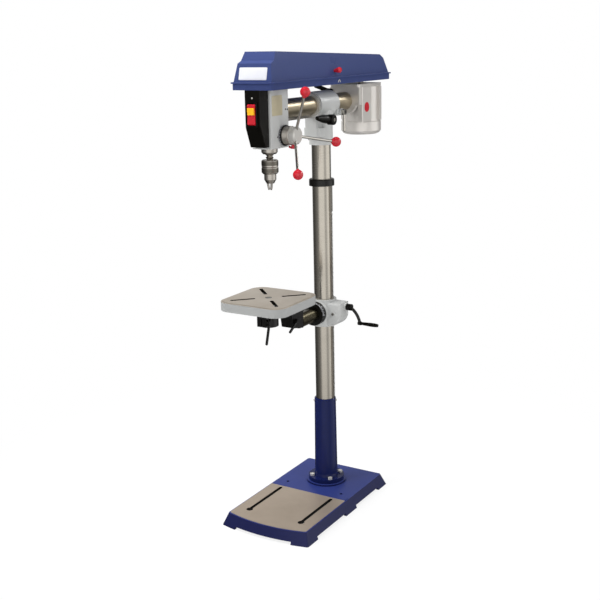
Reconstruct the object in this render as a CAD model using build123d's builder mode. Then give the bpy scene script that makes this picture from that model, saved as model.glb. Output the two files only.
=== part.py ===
from build123d import *
import math
import os

# Floor-standing radial drill press. +Z is up, -Y is the operator's side, +X is the operator's right.
# The origin is on the column axis, at floor level. All sizes are millimetres.

# Fits
fit_gap = 0.1
clear_gap = 0.3
face_gap = 0.3

# Base
base_top_z = 44.0
base_front_y = -420.0
base_rear_y = 139.0
base_half_width = 162.0
base_flare = 17.0
base_bow = 24.0
base_corner = 8.0
base_skin = 14.0
base_wall = 10.0
foot_notch_height = 10.0
front_foot_inner_x = 116.0
front_foot_rear_y = -368.0
mid_foot_front_y = -166.0
mid_foot_rear_y = -87.0
rear_foot_front_y = 88.0
plate_rear_y = -117.0
plate_height = 1.5
plate_inset = 4.0
base_slot_x = 108.0
base_slot_front_y = -365.0
base_slot_rear_y = -150.0
base_slot_width = 13.0
keyhole_dia = 24.0
floor_hole_dia = 11.0
floor_hole_x = 116.0
floor_hole_y = -93.0
pad_dia = 150.0
pad_height = 6.0

# Column, its sleeve and the rack
column_dia = 68.0
column_wall = 6.0
column_top_z = 1404.0
flange_dia = 134.0
flange_height = 15.0
flange_bolt_circle = 110.0
bolt_dia = 10.0
bolt_head_dia = 18.0
bolt_head_height = 7.0
bolt_reach = 10.0
sleeve_bottom_dia = 86.0
sleeve_top_dia = 80.0
sleeve_top_z = 376.0
sleeve_root = 2.0
sleeve_root_height = 12.0
sleeve_edge = 3.0
sleeve_edge_share = 0.7
set_screw_dia = 8.0
set_screw_drop = 14.0
set_screw_stand = 4.0
set_screw_angles = (30, 210)
collar_bottom_z = 1172.0
collar_height = 24.0
collar_dia = 90.0
rack_module = 1.5
rack_width = 9.0
rack_pitch_x = 39.5
rack_plain_top = 92.0
pressure_angle = math.radians(20)

# Table carriage and its lift
carriage_low_z = 660.0
carriage_top_z = 758.0
carriage_dia = 94.0
trunnion_z = 714.0
trunnion_dia = 52.0
trunnion_wall = 6.0
trunnion_boss_dia = 82.0
trunnion_front_y = -183.0
boss_front_y = -54.0
scale_ring_dia = 84.0
scale_ring_width = 26.0
gear_teeth = 23
gear_width = 12.0
gear_z = 710.0
gear_pin_dia = 10.0
gear_pin_stand = 1.5
worm_radius = 8.0
worm_core_radius = 5.9
worm_length = 36.0
worm_thread = 1.9
worm_shaft_dia = 16.0
gearbox_half_width = 34.0
gearbox_wall = 8.0
gearbox_low_z = 664.0
gearbox_round = 44.0
gearbox_edge = 8.0
gearbox_boss = 10.0
gearbox_top_z = 750.0
crank_radius = 55.0
crank_hub_dia = 24.0
crank_hub_length = 20.0
crank_reach = 38.0
crank_rod_dia = 11.0
crank_cap = 2.0
grip_length = 65.0
grip_dia = 14.0
grip_pin_dia = 7.0
ear_half_width = 16.0
ear_rear_y = 76.0
ear_half_height = 20.0
split_width = 3.0
clamp_bolt_dia = 10.0

# Table arm and table
table_y = -365.0
table_top_z = 842.0
table_half = 127.0
table_corner = 45.0
table_skin = 14.0
table_depth = 31.0
table_rim = 9.0
table_land_inset = 7.0
table_land_height = 1.5
table_bore = 25.0
table_slot_width = 13.0
table_slot_inner = 45.0
table_slot_outer = 130.0
stem_dia = 42.0
stem_low_z = 747.0
stem_boss_dia = 70.0
arm_spigot_rear_y = -64.0
arm_half_width = 24.0
arm_low_z = 694.0
arm_rear_top_z = 757.0
arm_shoulder_y = -225.0
arm_step_y = -250.0
arm_step_z = 708.0
arm_nose_y = -258.0
arm_nose_z = 745.0
arm_web_low_z = 770.0
arm_head_dia = 64.0
arm_head_low_z = 745.0
arm_head_top_z = 786.0
arm_ear_reach = 14.0
arm_ear_half = 18.0
arm_ear_lift = 5.0
arm_lock_y = -237.0
arm_lock_z = 730.0
arm_lock_length = 64.0
arm_lock_swing = math.radians(199)
table_lock_length = 72.0
table_lock_swing = math.radians(240)
lever_rod_dia = 9.0
lever_hub_dia = 20.0
lever_hub_length = 12.0
lever_length = 66.0
lever_lean = 0.15

# Head bracket and ram
ram_z = 1456.0
ram_dia = 64.0
ram_wall = 6.0
ram_front_y = -298.0
ram_rear_y = 198.0
bracket_hub_dia = 92.0
bracket_front_y = -68.0
bracket_rear_y = 58.0
bracket_low_z = 1317.0
bracket_skirt_dia = 84.0
bracket_block_half = 25.0
bracket_lug_half = 33.0
bracket_lug_low_z = 1348.0
bracket_lug_top_z = 1378.0
bracket_lug_front_y = -64.0
swing_boss_stand = 8.0
ram_ring_dia = 82.0
ram_ring_width = 8.0
ram_rack_width = 16.0
ram_rack_module = 1.5
ram_rack_addendum = 0.65
ram_rack_depth = 7.5
ram_pinion_teeth = 12
ram_pinion_y = -50.0
ram_pinion_shaft_dia = 12.0
ram_boss_dia = 30.0
ram_boss_end_x = 58.0
ram_handle_length = 27.0
ram_handle_dia = 36.0
ram_grip_length = 98.0
ram_grip_dia = 30.0
ram_grip_swing = math.radians(173)
ram_lock_y = 62.0
ram_lock_z = 1426.0
ram_lock_inner_x = 28.0
ram_lock_boss_x = 53.0
ram_lug_front_y = 40.0
ram_lug_outer_x = 44.0
swing_lock_z = 1336.0
swing_lock_y = 24.0

# Head casting, quill and spindle
spindle_y = -333.0
head_half_width = 38.0
head_front_y = -378.0
head_rear_y = -269.0
head_low_z = 1336.0
pan_low_z = 1525.0
head_edge = 6.0
quill_dia = 42.0
quill_nose_dia = 54.0
quill_nose_height = 18.0
quill_top_z = 1462.0
quill_stroke = 80.0
quill_bore_dia = 26.0
quill_rack_module = 1.25
quill_rack_addendum = 0.85
quill_rack_width = 14.0
bearing_dia = 32.0
bearing_height = 10.0
spindle_dia = 17.0
spline_dia = 15.0
spline_flat = 12.0
spindle_top_z = 1566.0
neck_dia = 26.0
neck_height = 19.0
arbor_dia = 16.0
arbor_length = 30.0

# Chuck
chuck_dia = 55.0
chuck_band_height = 22.0
chuck_sleeve_height = 24.0
chuck_core_dia = 36.0
chuck_nose_dia = 40.0
chuck_nose_tip_dia = 26.0
chuck_nose_height = 31.0
jaw_dia = 7.2
jaw_length = 36.0
jaw_tip_radius = 4.6
jaw_tilt = math.radians(10)
jaw_tip_z = 1200.0

# Feed
feed_z = 1376.0
feed_teeth = 16
feed_shaft_dia = 16.0
depth_ring_dia = 68.0
depth_ring_width = 8.0
feed_hub_dia = 59.0
feed_hub_end_x = 94.0
feed_rod_dia = 9.0
feed_rod_x = 80.0
feed_ball_x = 150.0
feed_ball_radius = 149.0
feed_ball_dia = 33.0
knob_seat = 6.0
feed_angles = (108, 228, 348)
depth_lock_x = 72.0
depth_lock_dia = 6.0
depth_lock_depth = 7.0
depth_wing_half = 15.0
spring_case_dia = 62.0
spring_case_depth = 22.0
spring_case_wall = 2.5
spring_strip = 1.2
spring_turns = 5

# Switch
box_front_y = -425.0
box_half_width = 29.0
box_low_z = 1344.0
box_knee_z = 1414.0
box_low_front_y = -398.0
box_wall = 2.5
switch_z = 1450.0
paddle_half_width = 14.5
paddle_half_height = 32.5
paddle_depth = 11.0
paddle_stand = 8.0
key_half_width = 12.0
key_half_height = 11.0
key_rise = 10.0
key_depth = 13.0
key_stand = 5.0

# Drive
motor_y = 300.0
motor_dia = 145.0
motor_wall = 5.0
motor_low_z = 1329.0
bell_top_z = 1377.0
motor_plate_low_z = 1503.0
motor_plate_height = 12.0
motor_plate_half_width = 60.0
motor_plate_rear_y = 352.0
motor_web_front_y = 172.0
motor_web_depth = 20.0
motor_hub_dia = 84.0
motor_shaft_dia = 18.0
rotor_dia = 92.0
rotor_low_z = 1392.0
rotor_top_z = 1470.0
terminal_inner_x = 44.0
terminal_outer_x = 64.0
terminal_low_z = 1379.0
terminal_rear_y = 260.0
pulley_low_z = 1534.0
pulley_step = 14.0
spindle_pulley_radii = (57.0, 52.0, 46.0, 40.0, 35.0)
pulley_radius_sum = 79.0
groove_depth = 7.0
groove_top_width = 11.0
groove_low_width = 9.2
belt_height = 8.0
belt_thickness = 6.0
pulley_sleeve_dia = 25.0
pulley_bearing_dia = 47.0
pulley_bearing_height = 12.0
pulley_bearing_low_z = 1470.0
pulley_bearing_top_z = 1508.0

# Belt cover
pan_half_width = 76.0
pan_front_y = -424.0
pan_rear_y = 387.0
pan_rim_z = 1545.0
pan_corner = 6.0
sheet = 2.0
lid_lip = 6.0
lid_lip_height = 4.5
lid_body_inset = 4.0
lid_brow_y = -407.0
lid_brow_z = 1607.0
lid_shelf_y = -389.0
lid_shelf_z = 1615.0
lid_back_y = 358.0
lid_back_z = 1603.0
lid_top_half_width = 57.5
lid_top_front_y = -372.0
lid_top_rear_y = 334.0
lid_front_z = 1643.0
lid_rear_z = 1616.5
hinge_dia = 9.0
hinge_pin_dia = 4.0
hinge_knuckle = 30.0
hinge_span = 520.0
hinge_strap_drop = 10.0
lid_knob_y = -19.0
lid_knob_z = 1570.0
lid_knob_length = 26.0
lid_knob_dia = 20.0

# Cable from the motor to the head, up behind the head bracket and along under the belt pan
cable_dia = 7.0
cable_entry = 10.0
cable_arc_share = 0.45
cable_points = (
    (-54.0, 192.0, 1492.0),
    (-54.0, 152.0, 1492.0),
    (-57.0, 110.0, 1504.0),
    (-60.0, 69.0, 1516.0),
    (-61.0, 14.0, 1520.4),
    (-60.0, -46.0, 1520.8),
    (-56.0, -106.0, 1520.4),
    (-46.0, -165.0, 1520.8),
    (-32.0, -223.0, 1518.2),
    (-32.0, -279.0, 1518.2),
)

# Values that follow from the sizes above
column_radius = column_dia / 2
ram_radius = ram_dia / 2
column_bore = column_radius + fit_gap
sleeve_chamfer = min(sleeve_edge, sleeve_edge_share * (sleeve_top_dia / 2 - column_bore))
pad_top_z = base_top_z + pad_height
flange_top_z = pad_top_z + flange_height
collar_top_z = collar_bottom_z + collar_height
gear_pitch = rack_module * gear_teeth / 2
gear_x = rack_pitch_x + gear_pitch
worm_z = gear_z + gear_pitch + worm_radius
worm_low_x = rack_pitch_x + rack_module + clear_gap + 1.5
worm_end_x = worm_low_x + worm_length
gearbox_right_x = worm_end_x + clear_gap + gearbox_wall
gearbox_boss_x = gearbox_right_x + gearbox_boss
crank_hub_x = gearbox_boss_x + face_gap
ram_pinion_pitch = ram_rack_module * ram_pinion_teeth / 2
ram_rack_pitch_z = ram_z - ram_radius - ram_rack_depth
ram_pinion_z = ram_rack_pitch_z - ram_pinion_pitch
feed_pitch = quill_rack_module * feed_teeth / 2
quill_pitch_offset = quill_dia / 2 - quill_rack_module * quill_rack_addendum
feed_y = spindle_y + quill_pitch_offset + feed_pitch
quill_low_z = head_low_z - face_gap - quill_nose_height
chuck_top_z = quill_low_z - neck_height
depth_ring_x = head_half_width + face_gap
feed_hub_x = depth_ring_x + depth_ring_width + face_gap
motor_pulley_radii = tuple(pulley_radius_sum - radius for radius in spindle_pulley_radii)
motor_web_rear_y = motor_web_front_y + motor_web_depth
lid_low_z = pan_rim_z + face_gap
lid_half_width = pan_half_width + lid_lip
hinge_x = -(lid_half_width + hinge_dia / 2 + clear_gap)
hinge_z = lid_low_z + lid_lip_height / 2
socket_radius = ram_radius + fit_gap

pieces = {}


def bar(start, end, radius, mode=Mode.ADD):
    """A round bar between two points."""
    run = Vector(end) - Vector(start)
    with Locations(Plane(origin=start, z_dir=run).location):
        Cylinder(radius, run.length, align=(Align.CENTER, Align.CENTER, Align.MIN), mode=mode)


def taper(start, end, start_radius, end_radius, mode=Mode.ADD):
    """A round bar whose radius changes from one end to the other."""
    run = Vector(end) - Vector(start)
    with Locations(Plane(origin=start, z_dir=run).location):
        Cone(start_radius, end_radius, run.length, align=(Align.CENTER, Align.CENTER, Align.MIN), mode=mode)


def block(low, high, mode=Mode.ADD):
    """A box between two opposite corners."""
    size = Vector(*high) - Vector(*low)
    with Locations((Vector(*low) + Vector(*high)) / 2):
        Box(size.X, size.Y, size.Z, mode=mode)


def turned(points, y=0.0, mode=Mode.ADD):
    """A turned piece from (radius, height) points, about the vertical line at X 0 and this Y."""
    with BuildSketch(Plane(origin=(0, y, 0), x_dir=(1, 0, 0), z_dir=(0, -1, 0))) as profile:
        with BuildLine():
            Polyline(*points, close=True)
        make_face()
    revolve(profile.sketch, axis=Axis((0, y, 0), (0, 0, 1)), mode=mode)


def prism(points, plane, amount, mode=Mode.ADD):
    """A straight-sided outline drawn on a plane and carried along the plane's normal."""
    with BuildSketch(plane) as outline:
        with BuildLine():
            Polyline(*points, close=True)
        make_face()
    extrude(outline.sketch, amount=amount, mode=mode)


def rounded_slab(low, high, corner, mode=Mode.ADD):
    """A flat slab with rounded vertical corners."""
    size = Vector(*high) - Vector(*low)
    with BuildSketch(Plane.XY.offset(low[2])) as outline:
        with Locations(((low[0] + high[0]) / 2, (low[1] + high[1]) / 2)):
            RectangleRounded(size.X, size.Y, corner)
    extrude(outline.sketch, amount=size.Z, mode=mode)


def gear_points(module, teeth, addendum, dedendum, backlash, gap_angle):
    """Involute tooth outline about the origin, with a tooth gap centred on gap_angle (radians)."""
    pitch_radius = module * teeth / 2
    base_radius = pitch_radius * math.cos(pressure_angle)
    root_radius = pitch_radius - dedendum * module
    tip_radius = pitch_radius + addendum * module
    half_tooth = (math.pi * module / 2 - backlash) / (2 * pitch_radius)

    def involute(angle):
        return math.tan(angle) - angle

    def half_angle(radius):
        flank = math.acos(min(1.0, base_radius / max(radius, base_radius)))
        return half_tooth + involute(pressure_angle) - involute(flank)

    radii = [root_radius]
    flank_foot = max(base_radius, root_radius)
    radii += [flank_foot + (tip_radius - flank_foot) * k / 3 for k in range(4)]
    if radii[1] - radii[0] < 0.01:
        radii.pop(0)
    outline = []
    for tooth in range(teeth):
        centre = gap_angle + (tooth + 0.5) * 2 * math.pi / teeth
        for radius in radii:
            angle = centre - half_angle(radius)
            outline.append((radius * math.cos(angle), radius * math.sin(angle)))
        for radius in reversed(radii):
            angle = centre + half_angle(radius)
            outline.append((radius * math.cos(angle), radius * math.sin(angle)))
    return outline


def rack_points(module, addendum, dedendum, backlash, first, last):
    """Rack teeth as (height over the pitch line, distance along it), numbered from first to last."""
    pitch = math.pi * module
    outline = []
    for tooth in range(first, last + 1):
        half_pitch_line = pitch / 4 - backlash / 2
        half_root = half_pitch_line + dedendum * module * math.tan(pressure_angle)
        half_tip = half_pitch_line - addendum * module * math.tan(pressure_angle)
        centre = tooth * pitch
        outline.append((-dedendum * module, centre - half_root))
        outline.append((addendum * module, centre - half_tip))
        outline.append((addendum * module, centre + half_tip))
        outline.append((-dedendum * module, centre + half_root))
    return outline


def lock_lever(pivot, side, swing, bolt_length, length, lean=lever_lean):
    """A clamp lever on a bolt along X: hub outside the pivot face, rod along the swing direction."""
    x, y, z = pivot
    near_x = x + side * face_gap
    far_x = near_x + side * lever_hub_length
    mid_x = (near_x + far_x) / 2
    tip = (mid_x + side * length * lean, y + length * math.cos(swing), z + length * math.sin(swing))
    bar((near_x, y, z), (far_x, y, z), lever_hub_dia / 2)
    bar((x - side * bolt_length, y, z), (near_x, y, z), clamp_bolt_dia / 2)
    bar((mid_x, y, z), tip, lever_rod_dia / 2)
    with Locations(tip):
        Sphere(lever_rod_dia / 2)


def step_pulley(radii, centre_y, bore_radius):
    """A cone pulley of V-grooved steps, largest radius where the list says, from the bottom up."""
    top_z = pulley_low_z + pulley_step * len(radii)
    points = [(bore_radius, pulley_low_z)]
    for index, radius in enumerate(radii):
        low = pulley_low_z + index * pulley_step
        middle = low + pulley_step / 2
        points.append((radius, low))
        points.append((radius, middle - groove_top_width / 2))
        points.append((radius - groove_depth, middle - groove_low_width / 2))
        points.append((radius - groove_depth, middle + groove_low_width / 2))
        points.append((radius, middle + groove_top_width / 2))
        points.append((radius, low + pulley_step))
    points.append((bore_radius, top_z))
    turned(points, centre_y)


def base_outline(height, grow):
    """Base outline with its bowed front edge, grown outwards, at a height."""
    half = base_half_width + grow
    front = base_front_y - grow
    rear = base_rear_y + grow
    with BuildSketch(Plane.XY.offset(height)) as outline:
        with BuildLine():
            Polyline((half, front), (half, rear), (-half, rear), (-half, front))
            ThreePointArc((-half, front), (0, front - base_bow), (half, front))
        make_face()
        fillet(outline.vertices(), base_corner)
    return outline.sketch


# Stand: base, sleeve, column, collar and their screws
bolt_spread = flange_bolt_circle / 2 * math.sqrt(0.5)
bolt_places = [(side * bolt_spread, end * bolt_spread) for side in (-1, 1) for end in (-1, 1)]
set_screw_z = sleeve_top_z - set_screw_drop
collar_screw_z = collar_bottom_z + collar_height / 2
base_side_x = base_half_width + base_flare + 1

with BuildPart() as base_casting:
    loft([base_outline(0, base_flare), base_outline(base_top_z, 0)], ruled=True)
    loft(
        [base_outline(0, base_flare - base_wall), base_outline(base_top_z - base_skin, -base_wall)],
        ruled=True,
        mode=Mode.SUBTRACT,
    )
    for low_y, high_y in ((front_foot_rear_y, mid_foot_front_y), (mid_foot_rear_y, rear_foot_front_y)):
        block((-base_side_x, low_y, 0), (base_side_x, high_y, foot_notch_height), Mode.SUBTRACT)
    block(
        (-front_foot_inner_x, base_front_y - base_flare - base_bow - 1, 0),
        (front_foot_inner_x, base_rear_y + base_flare + 1, foot_notch_height),
        Mode.SUBTRACT,
    )
    with BuildSketch(Plane.XY.offset(base_top_z)) as machined_land:
        add(base_outline(0, -plate_inset))
        with Locations((0, plate_rear_y + base_rear_y - base_front_y)):
            Rectangle(4 * base_half_width, 2 * (base_rear_y - base_front_y), mode=Mode.SUBTRACT)
    extrude(amount=plate_height)
    bar((0, 0, base_top_z - base_skin), (0, 0, pad_top_z), pad_dia / 2)
    with BuildSketch(Plane.XY.offset(base_top_z - base_skin - 1)) as base_slots:
        for side in (-1, 1):
            with Locations((side * base_slot_x, (base_slot_front_y + base_slot_rear_y) / 2)):
                SlotOverall(base_slot_rear_y - base_slot_front_y, base_slot_width, rotation=90)
            with Locations((side * base_slot_x, base_slot_front_y)):
                Circle(keyhole_dia / 2)
            with Locations((side * floor_hole_x, floor_hole_y)):
                Circle(floor_hole_dia / 2)
    extrude(amount=base_skin + plate_height + 2, mode=Mode.SUBTRACT)
    for x, y in bolt_places:
        bar((x, y, pad_top_z - bolt_reach - 2), (x, y, pad_top_z), bolt_dia / 2 + fit_gap, Mode.SUBTRACT)
pieces["base_casting"] = base_casting

with BuildPart() as column_sleeve:
    turned([
        (column_bore, pad_top_z),
        (flange_dia / 2, pad_top_z),
        (flange_dia / 2, flange_top_z),
        (sleeve_bottom_dia / 2 + sleeve_root, flange_top_z),
        (sleeve_bottom_dia / 2, flange_top_z + sleeve_root_height),
        (sleeve_top_dia / 2, sleeve_top_z - sleeve_chamfer),
        (sleeve_top_dia / 2 - sleeve_chamfer, sleeve_top_z),
        (column_bore, sleeve_top_z),
    ])
    for x, y in bolt_places:
        bar((x, y, pad_top_z), (x, y, flange_top_z), bolt_dia / 2 + fit_gap, Mode.SUBTRACT)
    for angle in set_screw_angles:
        across = math.cos(math.radians(angle))
        along = math.sin(math.radians(angle))
        bar(
            (0, 0, set_screw_z),
            (sleeve_top_dia * across, sleeve_top_dia * along, set_screw_z),
            set_screw_dia / 2 + fit_gap,
            Mode.SUBTRACT,
        )
pieces["column_sleeve"] = column_sleeve

with BuildPart() as column_tube:
    bar((0, 0, pad_top_z), (0, 0, column_top_z), column_radius)
    bar((0, 0, pad_top_z), (0, 0, column_top_z), column_radius - column_wall, Mode.SUBTRACT)
pieces["column_tube"] = column_tube

with BuildPart() as rack_collar:
    turned([
        (column_bore, collar_bottom_z),
        (collar_dia / 2, collar_bottom_z),
        (collar_dia / 2, collar_top_z - sleeve_edge),
        (collar_dia / 2 - sleeve_edge, collar_top_z),
        (column_bore, collar_top_z),
    ])
    bar((0, 0, collar_screw_z), (0, collar_dia, collar_screw_z), set_screw_dia / 2 + fit_gap, Mode.SUBTRACT)
pieces["rack_collar"] = rack_collar

with BuildPart() as stand_screws:
    screw_foot = column_radius + fit_gap
    for x, y in bolt_places:
        bar((x, y, pad_top_z - bolt_reach), (x, y, flange_top_z), bolt_dia / 2)
        with BuildSketch(Plane.XY.offset(flange_top_z)) as bolt_head:
            with Locations((x, y)):
                RegularPolygon(bolt_head_dia / 2, 6)
        extrude(amount=bolt_head_height)
    for angle in set_screw_angles:
        across = math.cos(math.radians(angle))
        along = math.sin(math.radians(angle))
        screw_end = sleeve_top_dia / 2 + set_screw_stand
        bar(
            (screw_foot * across, screw_foot * along, set_screw_z),
            (screw_end * across, screw_end * along, set_screw_z),
            set_screw_dia / 2,
        )
    bar((0, screw_foot, collar_screw_z), (0, collar_dia / 2 - 1, collar_screw_z), set_screw_dia / 2)
pieces["stand_screws"] = stand_screws

# Rack, loose on the column between the sleeve and the collar
rack_low_z = sleeve_top_z + face_gap
rack_high_z = collar_bottom_z - face_gap
rack_pitch = math.pi * rack_module
first_tooth = math.ceil((rack_low_z - gear_z) / rack_pitch + 0.6)
last_tooth = math.floor((rack_high_z - rack_plain_top - gear_z) / rack_pitch - 0.6)
rack_back_radius = column_radius + clear_gap

with BuildPart() as column_rack:
    teeth = rack_points(rack_module, 1.0, 1.25, 0.3, first_tooth, last_tooth)
    outline = [(rack_pitch_x + height, gear_z + along) for height, along in teeth]
    root_x = rack_pitch_x - 1.25 * rack_module
    tip_x = rack_pitch_x + rack_module
    plain_z = rack_high_z - rack_plain_top
    outline = [(0, rack_low_z), (root_x, rack_low_z)] + outline + [(root_x, plain_z)]
    outline += [(tip_x, plain_z), (tip_x, rack_high_z), (0, rack_high_z)]
    prism(outline, Plane.XZ.offset(-rack_width / 2), rack_width)
    bar((0, 0, rack_low_z - 1), (0, 0, rack_high_z + 1), rack_back_radius, Mode.SUBTRACT)
pieces["column_rack"] = column_rack

# Table carriage
channel_x = rack_pitch_x + rack_module + clear_gap
channel_half = rack_width / 2 + clear_gap
gear_room = gear_pitch + rack_module + 1.5
gear_half_room = gear_width / 2 + face_gap
worm_room = worm_radius + rack_module + 1.0
carriage_above_z = max(carriage_top_z, gearbox_top_z) + 1
trunnion_rear_y = -column_radius - 2

with BuildPart() as table_bracket:
    with BuildSketch(Plane.XZ.offset(-gearbox_half_width)) as gearbox_side:
        with BuildLine():
            belly_x = gearbox_right_x - gearbox_round
            belly_z = gearbox_low_z + gearbox_round
            bulge = gearbox_round * math.sqrt(0.5)
            Polyline((belly_x, gearbox_low_z), (0, gearbox_low_z), (0, gearbox_top_z))
            Polyline((0, gearbox_top_z), (gearbox_right_x, gearbox_top_z), (gearbox_right_x, belly_z))
            ThreePointArc(
                (gearbox_right_x, belly_z),
                (belly_x + bulge, belly_z - bulge),
                (belly_x, gearbox_low_z),
            )
        make_face()
    extrude(amount=2 * gearbox_half_width)
    fillet(table_bracket.faces().filter_by(Axis.Y).edges(), gearbox_edge)
    bar((worm_end_x, 0, worm_z), (gearbox_boss_x, 0, worm_z), crank_hub_dia / 2 + 1)
    bar((0, 0, carriage_low_z), (0, 0, carriage_top_z), carriage_dia / 2)
    bar((0, 0, trunnion_z), (0, boss_front_y, trunnion_z), trunnion_boss_dia / 2)
    block(
        (-ear_half_width, 0, trunnion_z - ear_half_height),
        (ear_half_width, ear_rear_y, trunnion_z + ear_half_height),
    )
    bar((0, 0, carriage_low_z - 1), (0, 0, carriage_above_z), column_bore, Mode.SUBTRACT)
    block(
        (0, -channel_half, carriage_low_z - 1),
        (channel_x, channel_half, carriage_above_z),
        Mode.SUBTRACT,
    )
    bar((gear_x, -gear_half_room, gear_z), (gear_x, gear_half_room, gear_z), gear_room, Mode.SUBTRACT)
    block(
        (channel_x - 1, -gear_half_room, carriage_low_z - 1),
        (gear_x + gear_room, gear_half_room, gear_z),
        Mode.SUBTRACT,
    )
    bar((channel_x - 1, 0, worm_z), (worm_end_x + clear_gap, 0, worm_z), worm_room, Mode.SUBTRACT)
    bar(
        (worm_end_x, 0, worm_z),
        (gearbox_boss_x + 1, 0, worm_z),
        worm_shaft_dia / 2 + fit_gap,
        Mode.SUBTRACT,
    )
    bar(
        (gear_x, -gearbox_half_width - 1, gear_z),
        (gear_x, gearbox_half_width + 1, gear_z),
        gear_pin_dia / 2,
        Mode.SUBTRACT,
    )
    bar(
        (0, trunnion_rear_y, trunnion_z),
        (0, boss_front_y - 1, trunnion_z),
        trunnion_dia / 2,
        Mode.SUBTRACT,
    )
    block(
        (-split_width / 2, 0, carriage_low_z - 1),
        (split_width / 2, ear_rear_y + 1, carriage_above_z),
        Mode.SUBTRACT,
    )
    carriage_bolt_y = ear_rear_y - ear_half_width
    bar(
        (-ear_half_width - 1, carriage_bolt_y, trunnion_z),
        (ear_half_width + 1, carriage_bolt_y, trunnion_z),
        clamp_bolt_dia / 2 + fit_gap,
        Mode.SUBTRACT,
    )
pieces["table_bracket"] = table_bracket

with BuildPart() as trunnion_tube:
    bar((0, trunnion_rear_y, trunnion_z), (0, trunnion_front_y, trunnion_z), trunnion_dia / 2)
    bar(
        (0, trunnion_rear_y, trunnion_z),
        (0, trunnion_front_y, trunnion_z),
        trunnion_dia / 2 - trunnion_wall,
        Mode.SUBTRACT,
    )
pieces["trunnion_tube"] = trunnion_tube

with BuildPart() as tilt_scale_ring:
    bar((0, boss_front_y, trunnion_z), (0, boss_front_y - scale_ring_width, trunnion_z), scale_ring_dia / 2)
    bar(
        (0, boss_front_y, trunnion_z),
        (0, boss_front_y - scale_ring_width, trunnion_z),
        trunnion_dia / 2,
        Mode.SUBTRACT,
    )
pieces["tilt_scale_ring"] = tilt_scale_ring

with BuildPart() as gear_pin:
    bar(
        (gear_x, -gearbox_half_width - gear_pin_stand, gear_z),
        (gear_x, gearbox_half_width + gear_pin_stand, gear_z),
        gear_pin_dia / 2,
    )
pieces["gear_pin"] = gear_pin

with BuildPart() as lift_gear:
    teeth = gear_points(rack_module, gear_teeth, 1.0, 1.25, 0.3, math.pi)
    prism(
        [(gear_x + u, gear_z + v) for u, v in teeth],
        Plane.XZ.offset(-gear_width / 2),
        gear_width,
    )
    bar(
        (gear_x, -gear_width, gear_z),
        (gear_x, gear_width, gear_z),
        gear_pin_dia / 2 + fit_gap,
        Mode.SUBTRACT,
    )
pieces["lift_gear"] = lift_gear

# The thread starts a whole number of turns from the tooth gap that faces it
thread_root = worm_core_radius - 0.3
thread_flank = math.tan(pressure_angle)
thread_foot = worm_thread / 2 + (worm_radius - thread_root) * thread_flank
gap_x = gear_x - (gear_teeth / 4 % 1 + 0.5) * rack_pitch
thread_x = gap_x - math.floor((gap_x - worm_low_x - thread_foot) / rack_pitch) * rack_pitch
worm_turns = math.floor((worm_end_x - thread_foot - thread_x) / rack_pitch)

with BuildPart() as worm_shaft:
    bar((worm_low_x, 0, worm_z), (worm_end_x, 0, worm_z), worm_core_radius)
    bar((worm_end_x, 0, worm_z), (crank_hub_x, 0, worm_z), worm_shaft_dia / 2)
    with BuildLine() as thread_path:
        Helix(
            rack_pitch,
            worm_turns * rack_pitch,
            worm_radius,
            center=(thread_x, 0, worm_z),
            direction=(1, 0, 0),
        )
    thread_plane = Plane(origin=(thread_x, 0, worm_z), x_dir=(1, 0, 0), z_dir=(0, -1, 0))
    with BuildSketch(thread_plane) as thread_section:
        with BuildLine():
            tip = worm_radius + rack_module
            tip_half = worm_thread / 2 - rack_module * thread_flank
            Polyline(
                (-thread_foot, thread_root),
                (-tip_half, tip),
                (tip_half, tip),
                (thread_foot, thread_root),
                close=True,
            )
        make_face()
    sweep(path=thread_path.line, is_frenet=True)
pieces["worm_shaft"] = worm_shaft

crank_knee_x = crank_hub_x + crank_hub_length - crank_rod_dia / 2
grip_x = crank_hub_x + crank_hub_length + crank_reach
grip_z = worm_z - crank_radius
grip_end_x = grip_x + grip_length
elbow_x = grip_x - crank_rod_dia / 2

with BuildPart() as crank_arm:
    with BuildLine() as crank_path:
        ThreePointArc(
            (crank_knee_x, 0, worm_z),
            (crank_knee_x + crank_reach * 0.68, 0, worm_z - crank_radius * 0.45),
            (elbow_x, 0, grip_z),
        )
    with BuildSketch(Plane(origin=crank_path.line @ 0, z_dir=crank_path.line % 0)) as crank_section:
        Circle(crank_rod_dia / 2)
    sweep(crank_section.sketch, path=crank_path.line)
    bar((crank_hub_x, 0, worm_z), (crank_hub_x + crank_hub_length, 0, worm_z), crank_hub_dia / 2)
    bar((elbow_x - crank_rod_dia / 2 - 1, 0, grip_z), (grip_x, 0, grip_z), grip_dia / 2)
    bar((grip_x - 1, 0, grip_z), (grip_end_x, 0, grip_z), grip_pin_dia / 2)
    bar((grip_end_x, 0, grip_z), (grip_end_x + crank_cap, 0, grip_z), grip_pin_dia / 2 + crank_cap)
pieces["crank_arm"] = crank_arm

with BuildPart() as crank_grip:
    with BuildSketch(Plane(origin=(0, 0, grip_z), x_dir=(1, 0, 0), z_dir=(0, -1, 0))) as grip_profile:
        with BuildLine():
            low_r = grip_pin_dia / 2 + fit_gap
            near_x = grip_x + face_gap
            far_x = grip_end_x - face_gap
            Polyline((near_x, grip_dia * 0.38), (near_x, low_r), (far_x, low_r), (far_x, grip_dia * 0.42))
            Spline(
                (far_x, grip_dia * 0.42),
                (far_x - grip_length * 0.3, grip_dia / 2),
                (near_x + grip_length * 0.25, grip_dia * 0.43),
                (near_x, grip_dia * 0.38),
            )
        make_face()
    revolve(axis=Axis((0, 0, grip_z), (1, 0, 0)))
pieces["crank_grip"] = crank_grip

with BuildPart() as carriage_lock:
    lock_lever(
        (-ear_half_width, carriage_bolt_y, trunnion_z),
        -1,
        math.radians(-60),
        2 * ear_half_width + 8,
        lever_length,
    )
pieces["carriage_lock"] = carriage_lock

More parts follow.
